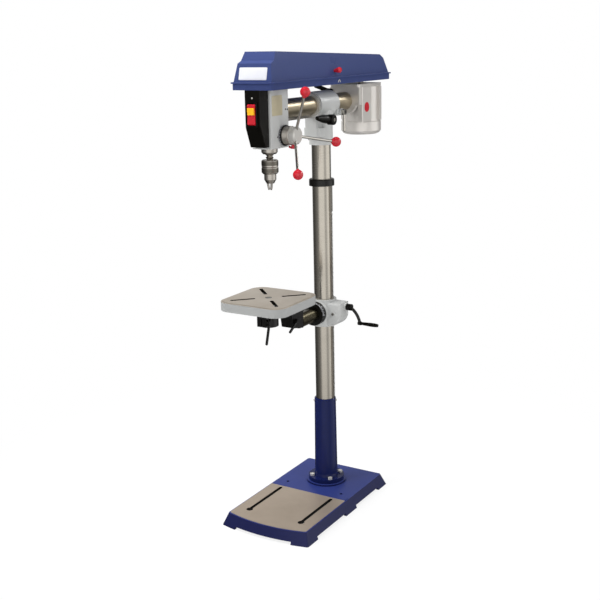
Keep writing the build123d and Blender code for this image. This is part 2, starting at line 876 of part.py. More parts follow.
# Table arm, its two locks and the table
arm_ear_front_y = table_y - arm_head_dia / 2 - arm_ear_reach
arm_bolt_y = arm_ear_front_y + clamp_bolt_dia
arm_head_z = (arm_head_low_z + arm_head_top_z) / 2
arm_rear_y = trunnion_front_y - face_gap
spigot_radius = trunnion_dia / 2 - trunnion_wall - fit_gap
stem_bore = stem_dia / 2 + fit_gap

with BuildPart() as table_arm:
    prism(
        [
            (arm_rear_y, arm_low_z),
            (arm_rear_y, arm_rear_top_z),
            (arm_shoulder_y, arm_head_top_z),
            (table_y, arm_head_top_z),
            (table_y, arm_web_low_z),
            (arm_nose_y, arm_web_low_z),
            (arm_nose_y, arm_nose_z),
            (arm_step_y, arm_step_z),
        ],
        Plane.YZ.offset(-arm_half_width),
        2 * arm_half_width,
    )
    fillet(table_arm.edges().filter_by(Axis.X), 4.0)
    bar((0, arm_spigot_rear_y, trunnion_z), (0, arm_rear_y - 1, trunnion_z), spigot_radius)
    bar((0, table_y, arm_head_low_z), (0, table_y, arm_head_top_z), arm_head_dia / 2)
    block(
        (-arm_ear_half, arm_ear_front_y, arm_head_low_z + arm_ear_lift),
        (arm_ear_half, table_y, arm_head_top_z),
    )
    bar((0, table_y, arm_head_low_z - 1), (0, table_y, arm_head_top_z + 1), stem_bore, Mode.SUBTRACT)
    block(
        (-split_width / 2, arm_ear_front_y - 1, arm_head_low_z - 1),
        (split_width / 2, table_y, arm_head_top_z + 1),
        Mode.SUBTRACT,
    )
    bar(
        (arm_ear_half, arm_bolt_y, arm_head_z),
        (arm_head_dia, arm_bolt_y, arm_head_z),
        lever_hub_dia / 2 + 1,
        Mode.SUBTRACT,
    )
    for half, bolt_y, bolt_z in (
        (arm_ear_half, arm_bolt_y, arm_head_z),
        (arm_half_width, arm_lock_y, arm_lock_z),
    ):
        bar(
            (-half - 1, bolt_y, bolt_z),
            (half + 1, bolt_y, bolt_z),
            clamp_bolt_dia / 2 + fit_gap,
            Mode.SUBTRACT,
        )
pieces["table_arm"] = table_arm

with BuildPart() as arm_lock:
    lock_lever(
        (arm_half_width, arm_lock_y, arm_lock_z),
        1,
        arm_lock_swing,
        2 * arm_half_width,
        arm_lock_length,
    )
pieces["arm_lock"] = arm_lock

with BuildPart() as table_lock:
    lock_lever(
        (arm_ear_half, arm_bolt_y, arm_head_z),
        1,
        table_lock_swing,
        2 * arm_ear_half,
        table_lock_length,
    )
pieces["table_lock"] = table_lock

table_low_z = table_top_z - table_depth
table_skin_low_z = table_top_z - table_skin

with BuildPart() as table:
    rounded_slab(
        (-table_half, table_y - table_half, table_low_z),
        (table_half, table_y + table_half, table_top_z - table_land_height),
        table_corner,
    )
    rounded_slab(
        (-table_half + table_rim, table_y - table_half + table_rim, table_low_z),
        (table_half - table_rim, table_y + table_half - table_rim, table_skin_low_z),
        table_corner - table_rim,
        Mode.SUBTRACT,
    )
    rounded_slab(
        (-table_half + table_land_inset, table_y - table_half + table_land_inset, table_skin_low_z),
        (table_half - table_land_inset, table_y + table_half - table_land_inset, table_top_z),
        table_corner - table_land_inset,
    )
    bar((0, table_y, table_low_z), (0, table_y, table_skin_low_z), stem_boss_dia / 2)
    bar((0, table_y, stem_low_z), (0, table_y, table_low_z), stem_dia / 2)
    slot_length = table_slot_outer - table_slot_inner
    with BuildSketch(Plane.XY.offset(table_skin_low_z - 1)) as table_slots:
        with Locations((0, table_y)):
            with PolarLocations((table_slot_outer + table_slot_inner) / 2, 4, 45):
                SlotOverall(slot_length, table_slot_width)
    extrude(amount=table_skin + 2, mode=Mode.SUBTRACT)
    bar((0, table_y, stem_low_z - 1), (0, table_y, table_top_z + 1), table_bore / 2, Mode.SUBTRACT)
pieces["table"] = table

# Head bracket with its locks and the ram drive
channel_low_z = ram_rack_pitch_z - ram_rack_module * ram_rack_addendum - clear_gap
ram_room = ram_pinion_pitch + ram_rack_module + 2
ram_half_room = ram_rack_width / 2 + clear_gap
rack_half = ram_rack_width / 2
swing_lock_face_x = -bracket_skirt_dia / 2 - swing_boss_stand

ram_lug_half_height = lever_hub_dia / 2 + 2

with BuildPart() as head_bracket:
    bar((0, 0, bracket_low_z), (0, 0, ram_z), bracket_skirt_dia / 2)
    bar((0, bracket_rear_y, ram_z), (0, bracket_front_y, ram_z), bracket_hub_dia / 2)
    rounded_slab(
        (-bracket_block_half, bracket_front_y, bracket_lug_low_z),
        (bracket_block_half, 0, ram_z),
        5.0,
    )
    rounded_slab(
        (-bracket_lug_half, bracket_lug_front_y, bracket_lug_low_z),
        (bracket_lug_half, 0, bracket_lug_top_z),
        8.0,
    )
    bar((0, ram_pinion_y, ram_pinion_z), (ram_boss_end_x, ram_pinion_y, ram_pinion_z), ram_boss_dia / 2)
    block(
        (ram_lock_inner_x, ram_lug_front_y, ram_lock_z - ram_lug_half_height),
        (ram_lug_outer_x, ram_lock_y, ram_lock_z + ram_lug_half_height),
    )
    bar(
        (ram_lock_inner_x, ram_lock_y, ram_lock_z),
        (ram_lock_boss_x, ram_lock_y, ram_lock_z),
        ram_lug_half_height,
    )
    bar(
        (0, swing_lock_y, swing_lock_z),
        (swing_lock_face_x, swing_lock_y, swing_lock_z),
        lever_hub_dia / 2 + 2,
    )
    bar((0, 0, bracket_low_z - 1), (0, 0, column_top_z + face_gap), column_bore, Mode.SUBTRACT)
    bar((0, bracket_rear_y + 1, ram_z), (0, bracket_front_y - 1, ram_z), socket_radius, Mode.SUBTRACT)
    block(
        (-rack_half - clear_gap, bracket_front_y - 1, channel_low_z),
        (rack_half + clear_gap, bracket_rear_y + 1, ram_z),
        Mode.SUBTRACT,
    )
    bar(
        (-ram_half_room, ram_pinion_y, ram_pinion_z),
        (ram_half_room, ram_pinion_y, ram_pinion_z),
        ram_room,
        Mode.SUBTRACT,
    )
    bar(
        (-ram_half_room - 14, ram_pinion_y, ram_pinion_z),
        (ram_boss_end_x + 1, ram_pinion_y, ram_pinion_z),
        ram_pinion_shaft_dia / 2 + fit_gap,
        Mode.SUBTRACT,
    )
    bar(
        (ram_lock_inner_x - 1, ram_lock_y, ram_lock_z),
        (ram_lock_boss_x + 1, ram_lock_y, ram_lock_z),
        clamp_bolt_dia / 2 + fit_gap,
        Mode.SUBTRACT,
    )
    bar(
        (0, swing_lock_y, swing_lock_z),
        (-bracket_skirt_dia, swing_lock_y, swing_lock_z),
        clamp_bolt_dia / 2 + fit_gap,
        Mode.SUBTRACT,
    )
pieces["head_bracket"] = head_bracket

with BuildPart() as ram_scale_ring:
    ring_front_y = bracket_front_y - ram_ring_width
    bar((0, bracket_front_y, ram_z), (0, ring_front_y, ram_z), ram_ring_dia / 2)
    bar((0, bracket_front_y, ram_z), (0, ring_front_y, ram_z), socket_radius, Mode.SUBTRACT)
    block(
        (-rack_half - clear_gap, ring_front_y - 1, ram_z - ram_ring_dia),
        (rack_half + clear_gap, bracket_front_y + 1, ram_z),
        Mode.SUBTRACT,
    )
pieces["ram_scale_ring"] = ram_scale_ring

with BuildPart() as ram_pinion:
    teeth = gear_points(ram_rack_module, ram_pinion_teeth, 1.0, 1.0, 0.3, math.pi / 2)
    prism(
        [(ram_pinion_y + u, ram_pinion_z + v) for u, v in teeth],
        Plane.YZ.offset(-rack_half),
        ram_rack_width,
    )
    bar(
        (-ram_half_room - 13, ram_pinion_y, ram_pinion_z),
        (ram_boss_end_x + ram_handle_length, ram_pinion_y, ram_pinion_z),
        ram_pinion_shaft_dia / 2,
    )
pieces["ram_pinion"] = ram_pinion

handle_x = ram_boss_end_x + face_gap
handle_end_x = ram_boss_end_x + ram_handle_length
handle_mid_x = (handle_x + handle_end_x) / 2
grip_aim = Vector(0, math.cos(ram_grip_swing), math.sin(ram_grip_swing))
handle_axis = Vector(handle_mid_x, ram_pinion_y, ram_pinion_z)
grip_stations = ((0.15, 0.3), (0.28, 0.36), (0.4, 0.5), (0.62, 0.44), (1.0, 0.22))

with BuildPart() as ram_handle:
    bar(
        (handle_x, ram_pinion_y, ram_pinion_z),
        (handle_end_x, ram_pinion_y, ram_pinion_z),
        ram_handle_dia / 2,
    )
    fillet(ram_handle.edges().filter_by(GeomType.CIRCLE), 4.0)
    for (near, near_size), (far, far_size) in zip(grip_stations, grip_stations[1:]):
        taper(
            handle_axis + grip_aim * ram_grip_length * near,
            handle_axis + grip_aim * ram_grip_length * far,
            ram_grip_dia * near_size,
            ram_grip_dia * far_size,
        )
    bar(
        (handle_x - 1, ram_pinion_y, ram_pinion_z),
        (handle_end_x + 1, ram_pinion_y, ram_pinion_z),
        ram_pinion_shaft_dia / 2,
        Mode.SUBTRACT,
    )
pieces["ram_handle"] = ram_handle

ram_lock_reach = ram_lock_boss_x - ram_lock_inner_x
bolt_inner_y = swing_lock_y - clamp_bolt_dia / 2
swing_lock_reach = -swing_lock_face_x - math.sqrt(column_radius ** 2 - bolt_inner_y ** 2) - 1.0

with BuildPart() as ram_lock:
    lock_lever(
        (ram_lock_boss_x, ram_lock_y, ram_lock_z),
        1,
        math.radians(-88),
        ram_lock_reach,
        lever_length,
        0.0,
    )
pieces["ram_lock"] = ram_lock

with BuildPart() as swing_lock:
    lock_lever(
        (swing_lock_face_x, swing_lock_y, swing_lock_z),
        -1,
        math.radians(15),
        swing_lock_reach,
        lever_length,
    )
pieces["swing_lock"] = swing_lock

# Ram: rack, tube, head casting and motor bracket
ram_rack_front_y = head_rear_y + face_gap
ram_rack_rear_y = motor_web_front_y - face_gap
ram_tooth_pitch = math.pi * ram_rack_module
first_ram_tooth = math.ceil((ram_rack_front_y - ram_pinion_y) / ram_tooth_pitch + 0.6)
last_ram_tooth = math.floor((ram_rack_rear_y - ram_pinion_y) / ram_tooth_pitch - 0.6)

with BuildPart() as ram_rack:
    teeth = rack_points(ram_rack_module, ram_rack_addendum, 1.1, 0.3, first_ram_tooth, last_ram_tooth)
    outline = [(ram_pinion_y + along, ram_rack_pitch_z - height) for height, along in teeth]
    root_z = ram_rack_pitch_z + 1.1 * ram_rack_module
    back_z = ram_z - ram_radius / 2
    outline = (
        [(ram_rack_front_y, back_z), (ram_rack_front_y, root_z)]
        + outline
        + [(ram_rack_rear_y, root_z), (ram_rack_rear_y, back_z)]
    )
    prism(outline, Plane.YZ.offset(-rack_half), ram_rack_width)
    bar(
        (0, ram_rack_front_y - 1, ram_z),
        (0, ram_rack_rear_y + 1, ram_z),
        ram_radius + clear_gap,
        Mode.SUBTRACT,
    )
pieces["ram_rack"] = ram_rack

with BuildPart() as ram_tube:
    bar((0, ram_front_y, ram_z), (0, ram_rear_y, ram_z), ram_radius)
    bar((0, ram_front_y, ram_z), (0, ram_rear_y, ram_z), ram_radius - ram_wall, Mode.SUBTRACT)
pieces["ram_tube"] = ram_tube

quill_bore = quill_dia / 2 + fit_gap
feed_room = feed_pitch + quill_rack_module + 1.0
feed_half_room = quill_rack_width / 2 + clear_gap

with BuildPart() as head_casting:
    rounded_slab(
        (-head_half_width, head_front_y, head_low_z),
        (head_half_width, head_rear_y, pan_low_z),
        head_edge,
    )
    fillet(head_casting.edges().group_by(Axis.Z)[0], 3.0)
    bar((0, spindle_y, head_low_z - 1), (0, spindle_y, pulley_bearing_low_z), quill_bore, Mode.SUBTRACT)
    bar(
        (0, spindle_y, pulley_bearing_low_z),
        (0, spindle_y, pan_low_z + 1),
        pulley_bearing_dia / 2,
        Mode.SUBTRACT,
    )
    bar((0, ram_front_y, ram_z), (0, head_rear_y + 1, ram_z), ram_radius, Mode.SUBTRACT)
    bar((-feed_half_room, feed_y, feed_z), (feed_half_room, feed_y, feed_z), feed_room, Mode.SUBTRACT)
    bar(
        (cable_points[-1][0], head_rear_y - cable_entry - 1, cable_points[-1][2]),
        (cable_points[-1][0], head_rear_y + 1, cable_points[-1][2]),
        cable_dia / 2 + clear_gap,
        Mode.SUBTRACT,
    )
    bar(
        (-head_half_width - 1, feed_y, feed_z),
        (head_half_width + 1, feed_y, feed_z),
        feed_shaft_dia / 2 + fit_gap,
        Mode.SUBTRACT,
    )
pieces["head_casting"] = head_casting

with BuildPart() as pulley_bearings:
    for low_z in (pulley_bearing_low_z, pulley_bearing_top_z):
        bar((0, spindle_y, low_z), (0, spindle_y, low_z + pulley_bearing_height), pulley_bearing_dia / 2)
    bar(
        (0, spindle_y, pulley_bearing_low_z - 1),
        (0, spindle_y, pan_low_z),
        pulley_sleeve_dia / 2 + fit_gap / 2,
        Mode.SUBTRACT,
    )
pieces["pulley_bearings"] = pulley_bearings

# Quill, spindle and chuck
quill_tooth_pitch = math.pi * quill_rack_module
quill_teeth_up = math.floor(quill_stroke / quill_tooth_pitch) + 2
quill_gap_root = quill_pitch_offset - 1.2 * quill_rack_module
lower_bearing_z = quill_low_z + 4
upper_bearing_z = quill_top_z - 2 - bearing_height

with BuildPart() as quill:
    turned([
        (quill_bore_dia / 2, quill_low_z),
        (quill_nose_dia / 2 - 5, quill_low_z),
        (quill_nose_dia / 2, quill_low_z + 6),
        (quill_nose_dia / 2, head_low_z - face_gap),
        (quill_dia / 2, head_low_z - face_gap),
        (quill_dia / 2, quill_top_z),
        (quill_bore_dia / 2, quill_top_z),
    ], spindle_y)
    for low_z in (lower_bearing_z, upper_bearing_z):
        bar((0, spindle_y, low_z), (0, spindle_y, low_z + bearing_height), bearing_dia / 2, Mode.SUBTRACT)
    flank = math.tan(pressure_angle)
    half_gap = quill_tooth_pitch / 4 + 0.15
    tip_offset = quill_dia / 2 + 1
    for tooth in range(-2, quill_teeth_up):
        middle = feed_z + (tooth + 0.5) * quill_tooth_pitch
        root_half = half_gap - (quill_pitch_offset - quill_gap_root) * flank
        tip_half = half_gap + (tip_offset - quill_pitch_offset) * flank
        prism(
            [
                (spindle_y + quill_gap_root, middle - root_half),
                (spindle_y + tip_offset, middle - tip_half),
                (spindle_y + tip_offset, middle + tip_half),
                (spindle_y + quill_gap_root, middle + root_half),
            ],
            Plane.YZ.offset(-quill_dia / 2),
            quill_dia,
            Mode.SUBTRACT,
        )
pieces["quill"] = quill

with BuildPart() as quill_bearings:
    for low_z in (lower_bearing_z, upper_bearing_z):
        bar((0, spindle_y, low_z), (0, spindle_y, low_z + bearing_height), bearing_dia / 2)
    bar(
        (0, spindle_y, quill_low_z),
        (0, spindle_y, quill_top_z),
        spindle_dia / 2 + fit_gap / 2,
        Mode.SUBTRACT,
    )
pieces["quill_bearings"] = quill_bearings

spindle_shoulder_z = quill_low_z - face_gap

with BuildPart() as spindle:
    turned([
        (0, chuck_top_z - arbor_length),
        (arbor_dia / 2, chuck_top_z - arbor_length),
        (arbor_dia / 2, chuck_top_z),
        (neck_dia / 2 - 4, chuck_top_z),
        (neck_dia / 2, chuck_top_z + neck_height * 0.4),
        (neck_dia / 2 - 4, chuck_top_z + neck_height * 0.6),
        (neck_dia / 2 + 3, spindle_shoulder_z),
        (spindle_dia / 2, spindle_shoulder_z),
        (spindle_dia / 2, quill_top_z - 1),
        (spline_dia / 2, quill_top_z - 1),
        (spline_dia / 2, spindle_top_z),
        (0, spindle_top_z),
    ], spindle_y)
    for low_y in (spindle_y + spline_flat / 2, spindle_y - spline_flat / 2 - spindle_dia):
        block(
            (-spindle_dia, low_y, quill_top_z + 1),
            (spindle_dia, low_y + spindle_dia, spindle_top_z + 1),
            Mode.SUBTRACT,
        )
pieces["spindle"] = spindle

chuck_sleeve_top_z = chuck_top_z - chuck_band_height
chuck_sleeve_low_z = chuck_sleeve_top_z - chuck_sleeve_height
chuck_nose_z = chuck_sleeve_low_z - chuck_nose_height
jaw_places = []
for turn in (90, 210, 330):
    out_x = math.cos(math.radians(turn))
    out_y = math.sin(math.radians(turn))
    tip = Vector(jaw_tip_radius * out_x, spindle_y + jaw_tip_radius * out_y, jaw_tip_z)
    rise = Vector(math.sin(jaw_tilt) * out_x, math.sin(jaw_tilt) * out_y, math.cos(jaw_tilt))
    jaw_places.append((tip, rise))

with BuildPart() as chuck_body:
    turned([
        (arbor_dia / 2, chuck_top_z),
        (chuck_dia / 2 - 3, chuck_top_z),
        (chuck_dia / 2, chuck_top_z - 3),
        (chuck_dia / 2, chuck_sleeve_top_z),
        (chuck_core_dia / 2, chuck_sleeve_top_z),
        (chuck_core_dia / 2, chuck_sleeve_low_z),
        (chuck_nose_dia / 2, chuck_sleeve_low_z),
        (chuck_nose_dia / 2, chuck_sleeve_low_z - chuck_nose_height * 0.6),
        (chuck_nose_tip_dia / 2, chuck_nose_z),
        (0, chuck_nose_z),
        (0, chuck_top_z - arbor_length),
        (arbor_dia / 2, chuck_top_z - arbor_length),
    ], spindle_y)
    for tip, rise in jaw_places:
        start = tip - rise * 8
        end = tip + rise * (jaw_length + 12)
        bar(start, end, jaw_dia / 2 + clear_gap, Mode.SUBTRACT)
pieces["chuck_body"] = chuck_body

with BuildPart() as chuck_sleeve:
    turned([
        (chuck_core_dia / 2 + fit_gap, chuck_sleeve_low_z + face_gap),
        (chuck_dia / 2 - 4, chuck_sleeve_low_z + face_gap),
        (chuck_dia / 2, chuck_sleeve_low_z + 5),
        (chuck_dia / 2, chuck_sleeve_top_z - 3),
        (chuck_dia / 2 - 2, chuck_sleeve_top_z - face_gap),
        (chuck_core_dia / 2 + fit_gap, chuck_sleeve_top_z - face_gap),
    ], spindle_y)
pieces["chuck_sleeve"] = chuck_sleeve

for number, (tip, rise) in enumerate(jaw_places, start=1):
    with BuildPart() as chuck_jaw:
        taper(tip, (tip + rise * 3), jaw_dia / 2 - 1.2, jaw_dia / 2)
        bar((tip + rise * 3), (tip + rise * jaw_length), jaw_dia / 2)
    pieces["chuck_jaw_" + str(number)] = chuck_jaw

# Feed shaft, hub, handles, depth ring and return spring
spring_case_low_x = -head_half_width - spring_case_depth
feed_shaft_low_x = spring_case_low_x + spring_case_wall + 2

with BuildPart() as feed_shaft:
    teeth = gear_points(quill_rack_module, feed_teeth, 0.9, 1.1, 0.3, math.pi)
    prism(
        [(feed_y + u, feed_z + v) for u, v in teeth],
        Plane.YZ.offset(-quill_rack_width / 2),
        quill_rack_width,
    )
    bar(
        (feed_shaft_low_x, feed_y, feed_z),
        (feed_hub_x + 30, feed_y, feed_z),
        feed_shaft_dia / 2,
    )
pieces["feed_shaft"] = feed_shaft

feed_rods_run = []
for angle in feed_angles:
    along = math.cos(math.radians(angle))
    up = math.sin(math.radians(angle))
    root = Vector(feed_rod_x, feed_y, feed_z)
    end = Vector(feed_ball_x, feed_y + feed_ball_radius * along, feed_z + feed_ball_radius * up)
    feed_rods_run.append((root, end, (end - root).normalized()))
rod_root = feed_hub_dia * 0.27
hub_low_z = feed_z - feed_hub_dia / 2

with BuildPart() as feed_hub:
    with BuildSketch(Plane(origin=(0, feed_y, feed_z), x_dir=(1, 0, 0), z_dir=(0, -1, 0))) as hub_profile:
        with BuildLine():
            hub_r = feed_hub_dia / 2
            Polyline(
                (feed_hub_x, 0),
                (feed_hub_x, hub_r),
                (feed_hub_x + 22, hub_r),
                (feed_hub_x + 24, hub_r - 2.5),
                (feed_hub_x + 27, hub_r - 2.5),
                (feed_hub_x + 29, hub_r - 0.5),
                (feed_hub_end_x - 5, hub_r - 1.5),
                (feed_hub_end_x, hub_r - 6),
                (feed_hub_end_x, 0),
                close=True,
            )
        make_face()
    revolve(axis=Axis((0, feed_y, feed_z), (1, 0, 0)))
    bar(
        (feed_hub_x - 1, feed_y, feed_z),
        (feed_hub_x + 30, feed_y, feed_z),
        feed_shaft_dia / 2,
        Mode.SUBTRACT,
    )
    for root, end, aim in feed_rods_run:
        bar((root + aim * rod_root), end, feed_rod_dia / 2, Mode.SUBTRACT)
    bar(
        (depth_lock_x, feed_y, hub_low_z + depth_lock_depth),
        (depth_lock_x, feed_y, hub_low_z - 1),
        depth_lock_dia / 2 + fit_gap,
        Mode.SUBTRACT,
    )
pieces["feed_hub"] = feed_hub

with BuildPart() as feed_rods:
    for root, end, aim in feed_rods_run:
        bar((root + aim * rod_root), (end - aim * knob_seat), feed_rod_dia / 2)
pieces["feed_rods"] = feed_rods

with BuildPart() as feed_knobs:
    for root, end, aim in feed_rods_run:
        with Locations(end):
            Sphere(feed_ball_dia / 2)
        taper(
            (end - aim * (feed_ball_dia / 2 + 3)),
            (end - aim * (feed_ball_dia / 2 - 5)),
            feed_rod_dia / 2 + 1.5,
            feed_rod_dia / 2 + 4.5,
        )
    for root, end, aim in feed_rods_run:
        bar((end - aim * feed_ball_dia), (end - aim * knob_seat), feed_rod_dia / 2, Mode.SUBTRACT)
pieces["feed_knobs"] = feed_knobs

with BuildPart() as depth_ring:
    bar(
        (depth_ring_x, feed_y, feed_z),
        (depth_ring_x + depth_ring_width, feed_y, feed_z),
        depth_ring_dia / 2,
    )
    chamfer(depth_ring.edges().filter_by(GeomType.CIRCLE), 1.0)
    bar(
        (depth_ring_x - 1, feed_y, feed_z),
        (depth_ring_x + depth_ring_width + 1, feed_y, feed_z),
        feed_shaft_dia / 2 + fit_gap,
        Mode.SUBTRACT,
    )
pieces["depth_ring"] = depth_ring

with BuildPart() as depth_lock:
    wing = depth_wing_half
    bar(
        (depth_lock_x, feed_y, hub_low_z + depth_lock_depth - face_gap),
        (depth_lock_x, feed_y, hub_low_z - 3),
        depth_lock_dia / 2,
    )
    bar((depth_lock_x, feed_y, hub_low_z - 0.5), (depth_lock_x, feed_y, hub_low_z - 10), depth_lock_dia)
    prism(
        [(-wing, 0), (-wing, -7), (-5, -10), (5, -10), (wing, -7), (wing, 0), (5, -5), (-5, -5)],
        Plane(origin=(depth_lock_x, feed_y + 2.5, hub_low_z - 3), x_dir=(1, 0, 0), z_dir=(0, -1, 0)),
        5.0,
    )
pieces["depth_lock"] = depth_lock

with BuildPart() as spring_case:
    bar((-head_half_width, feed_y, feed_z), (spring_case_low_x, feed_y, feed_z), spring_case_dia / 2)
    fillet(spring_case.edges().filter_by(GeomType.CIRCLE).sort_by(Axis.X)[0], 4.0)
    bar(
        (-head_half_width, feed_y, feed_z),
        (spring_case_low_x + spring_case_wall, feed_y, feed_z),
        spring_case_dia / 2 - spring_case_wall,
        Mode.SUBTRACT,
    )
pieces["spring_case"] = spring_case

# The spring is a strip wound in half circles whose radius grows by half a pitch each time
spring_inner = feed_shaft_dia / 2 + clear_gap + spring_strip / 2
spring_outer = spring_case_dia / 2 - spring_case_wall - clear_gap - spring_strip / 2
spring_growth = (spring_outer - spring_inner) / (2 * spring_turns)
spring_low_x = spring_case_low_x + spring_case_wall + 2.5
spring_width = -head_half_width - spring_low_x - 2.5

with BuildPart() as return_spring:
    with BuildSketch(Plane.YZ.offset(spring_low_x)) as strip:
        with BuildLine() as winding:
            place = feed_y + spring_inner
            side = -1
            for half_turn in range(2 * spring_turns):
                radius = spring_inner + half_turn * spring_growth
                next_place = place + side * 2 * radius
                crown = feed_z + radius * (1 if half_turn % 2 == 0 else -1)
                ThreePointArc((place, feed_z), ((place + next_place) / 2, crown), (next_place, feed_z))
                place = next_place
                side = -side
        trace(line_width=spring_strip)
    extrude(amount=spring_width)
pieces["return_spring"] = return_spring

# Switch box with its paddle and key
box_top_z = pan_low_z - face_gap
paddle_window = 1.2

with BuildPart() as switch_box:
    box_side = [
        (head_front_y, box_low_z),
        (box_low_front_y, box_low_z),
        (box_front_y, box_knee_z),
        (box_front_y, box_top_z),
        (head_front_y, box_top_z),
    ]
    prism(box_side, Plane.YZ.offset(-box_half_width), 2 * box_half_width)
    fillet(switch_box.edges().filter_by(Axis.Z).sort_by(Axis.Y)[:2], 3.0)
    inner_side = [
        (head_front_y, box_low_z + box_wall),
        (box_low_front_y + box_wall, box_low_z + box_wall),
        (box_front_y + box_wall, box_knee_z),
        (box_front_y + box_wall, box_top_z - box_wall),
        (head_front_y, box_top_z - box_wall),
    ]
    prism(
        inner_side,
        Plane.YZ.offset(-box_half_width + box_wall),
        2 * (box_half_width - box_wall),
        Mode.SUBTRACT,
    )
    window_half_width = paddle_half_width + paddle_window
    window_half_height = paddle_half_height + paddle_window
    block(
        (-window_half_width, box_front_y - 1, switch_z - window_half_height),
        (window_half_width, box_front_y + box_wall + 1, switch_z + window_half_height),
        Mode.SUBTRACT,
    )
    bar(
        (-box_half_width + box_wall / 2, box_front_y + box_wall + 1, switch_z),
        (box_half_width - box_wall / 2, box_front_y + box_wall + 1, switch_z),
        2.0,
    )
pieces["switch_box"] = switch_box

paddle_front_y = box_front_y - paddle_stand
paddle_back_y = paddle_front_y + paddle_depth
key_z = switch_z + key_rise
key_front_y = paddle_front_y - key_stand
key_back_y = key_front_y + key_depth
pivot_y = box_front_y + box_wall + 1

with BuildPart() as switch_paddle:
    prism(
        [
            (paddle_back_y, switch_z - paddle_half_height + 3),
            (paddle_front_y + 3, switch_z - paddle_half_height),
            (paddle_front_y - 1, switch_z - paddle_half_height + 4),
            (paddle_front_y + 2, switch_z),
            (paddle_front_y - 1, switch_z + paddle_half_height - 4),
            (paddle_front_y + 3, switch_z + paddle_half_height),
            (paddle_back_y, switch_z + paddle_half_height - 3),
        ],
        Plane.YZ.offset(-paddle_half_width),
        2 * paddle_half_width,
    )
    block(
        (-paddle_half_width, paddle_back_y - 1, switch_z - 5),
        (paddle_half_width, pivot_y + 4, switch_z + 5),
    )
    bar((-30, pivot_y, switch_z), (30, pivot_y, switch_z), 2.0 + fit_gap, Mode.SUBTRACT)
    block(
        (-key_half_width - clear_gap, paddle_front_y - 6, key_z - key_half_height - clear_gap),
        (key_half_width + clear_gap, key_back_y + face_gap, key_z + key_half_height + clear_gap),
        Mode.SUBTRACT,
    )
pieces["switch_paddle"] = switch_paddle

with BuildPart() as switch_key:
    block(
        (-key_half_width, key_front_y, key_z - key_half_height),
        (key_half_width, key_back_y, key_z + key_half_height),
    )
    fillet(switch_key.faces().sort_by(Axis.Y)[0].edges(), 1.5)
pieces["switch_key"] = switch_key

# Motor, its bracket and covers
motor_radius = motor_dia / 2
motor_plate_top_z = motor_plate_low_z + motor_plate_height
shaft_bore = motor_shaft_dia / 2 + fit_gap

with BuildPart() as motor_bracket:
    rounded_slab(
        (-motor_plate_half_width, motor_web_front_y, motor_plate_low_z),
        (motor_plate_half_width, motor_plate_rear_y, motor_plate_top_z),
        8.0,
    )
    block(
        (-motor_plate_half_width, motor_web_front_y, ram_z - 14),
        (motor_plate_half_width, motor_web_rear_y, motor_plate_low_z + 1),
    )
    bar((0, motor_web_front_y, ram_z), (0, motor_web_rear_y, ram_z), motor_hub_dia / 2 + 6)
    bar((0, motor_web_front_y, ram_z), (0, ram_rear_y + 4, ram_z), motor_hub_dia / 2)
    bar((0, motor_web_front_y - 1, ram_z), (0, ram_rear_y, ram_z), ram_radius, Mode.SUBTRACT)
    bar((0, motor_y, motor_plate_low_z - 1), (0, motor_y, motor_plate_top_z + 1), 22.0, Mode.SUBTRACT)
    bar(
        (cable_points[0][0], motor_web_front_y - 1, cable_points[0][2]),
        (cable_points[0][0], motor_web_rear_y + 1, cable_points[0][2]),
        cable_dia / 2 + clear_gap,
        Mode.SUBTRACT,
    )
pieces["motor_bracket"] = motor_bracket

with BuildPart() as motor_can:
    bar((0, motor_y, bell_top_z), (0, motor_y, motor_plate_low_z), motor_radius)
    for side in (-1, 1):
        block(
            (side * (motor_radius + 2) - 7, motor_y - 8, bell_top_z + 4),
            (side * (motor_radius + 2) + 7, motor_y + 8, motor_plate_low_z),
        )
    bar(
        (0, motor_y, bell_top_z - 1),
        (0, motor_y, motor_plate_low_z - 2 * motor_wall),
        motor_radius - motor_wall,
        Mode.SUBTRACT,
    )
    bar((0, motor_y, bell_top_z), (0, motor_y, motor_plate_low_z + 1), shaft_bore, Mode.SUBTRACT)
pieces["motor_can"] = motor_can

with BuildPart() as motor_end_bell:
    turned([
        (0, motor_low_z),
        (motor_radius - 14, motor_low_z),
        (motor_radius - 5, motor_low_z + 4),
        (motor_radius + 2, motor_low_z + 13),
        (motor_radius + 2, bell_top_z - 2),
        (motor_radius, bell_top_z),
        (0, bell_top_z),
    ], motor_y)
    turned([
        (0, motor_low_z + 20),
        (motor_radius - 8, motor_low_z + 20),
        (motor_radius - 8, bell_top_z),
        (0, bell_top_z),
    ], motor_y, Mode.SUBTRACT)
    bar((0, motor_y, motor_low_z + 19), (0, motor_y, motor_low_z + 34), 18.0)
    bar((0, motor_y, motor_low_z + 8), (0, motor_y, bell_top_z), shaft_bore, Mode.SUBTRACT)
pieces["motor_end_bell"] = motor_end_bell

pulley_top_z = pulley_low_z + pulley_step * len(spindle_pulley_radii)

with BuildPart() as motor_rotor:
    bar((0, motor_y, motor_low_z + 8 + face_gap), (0, motor_y, pulley_top_z), motor_shaft_dia / 2)
    bar((0, motor_y, rotor_low_z), (0, motor_y, rotor_top_z), rotor_dia / 2)
pieces["motor_rotor"] = motor_rotor

with BuildPart() as motor_pulley:
    step_pulley(motor_pulley_radii, motor_y, motor_shaft_dia / 2)
pieces["motor_pulley"] = motor_pulley

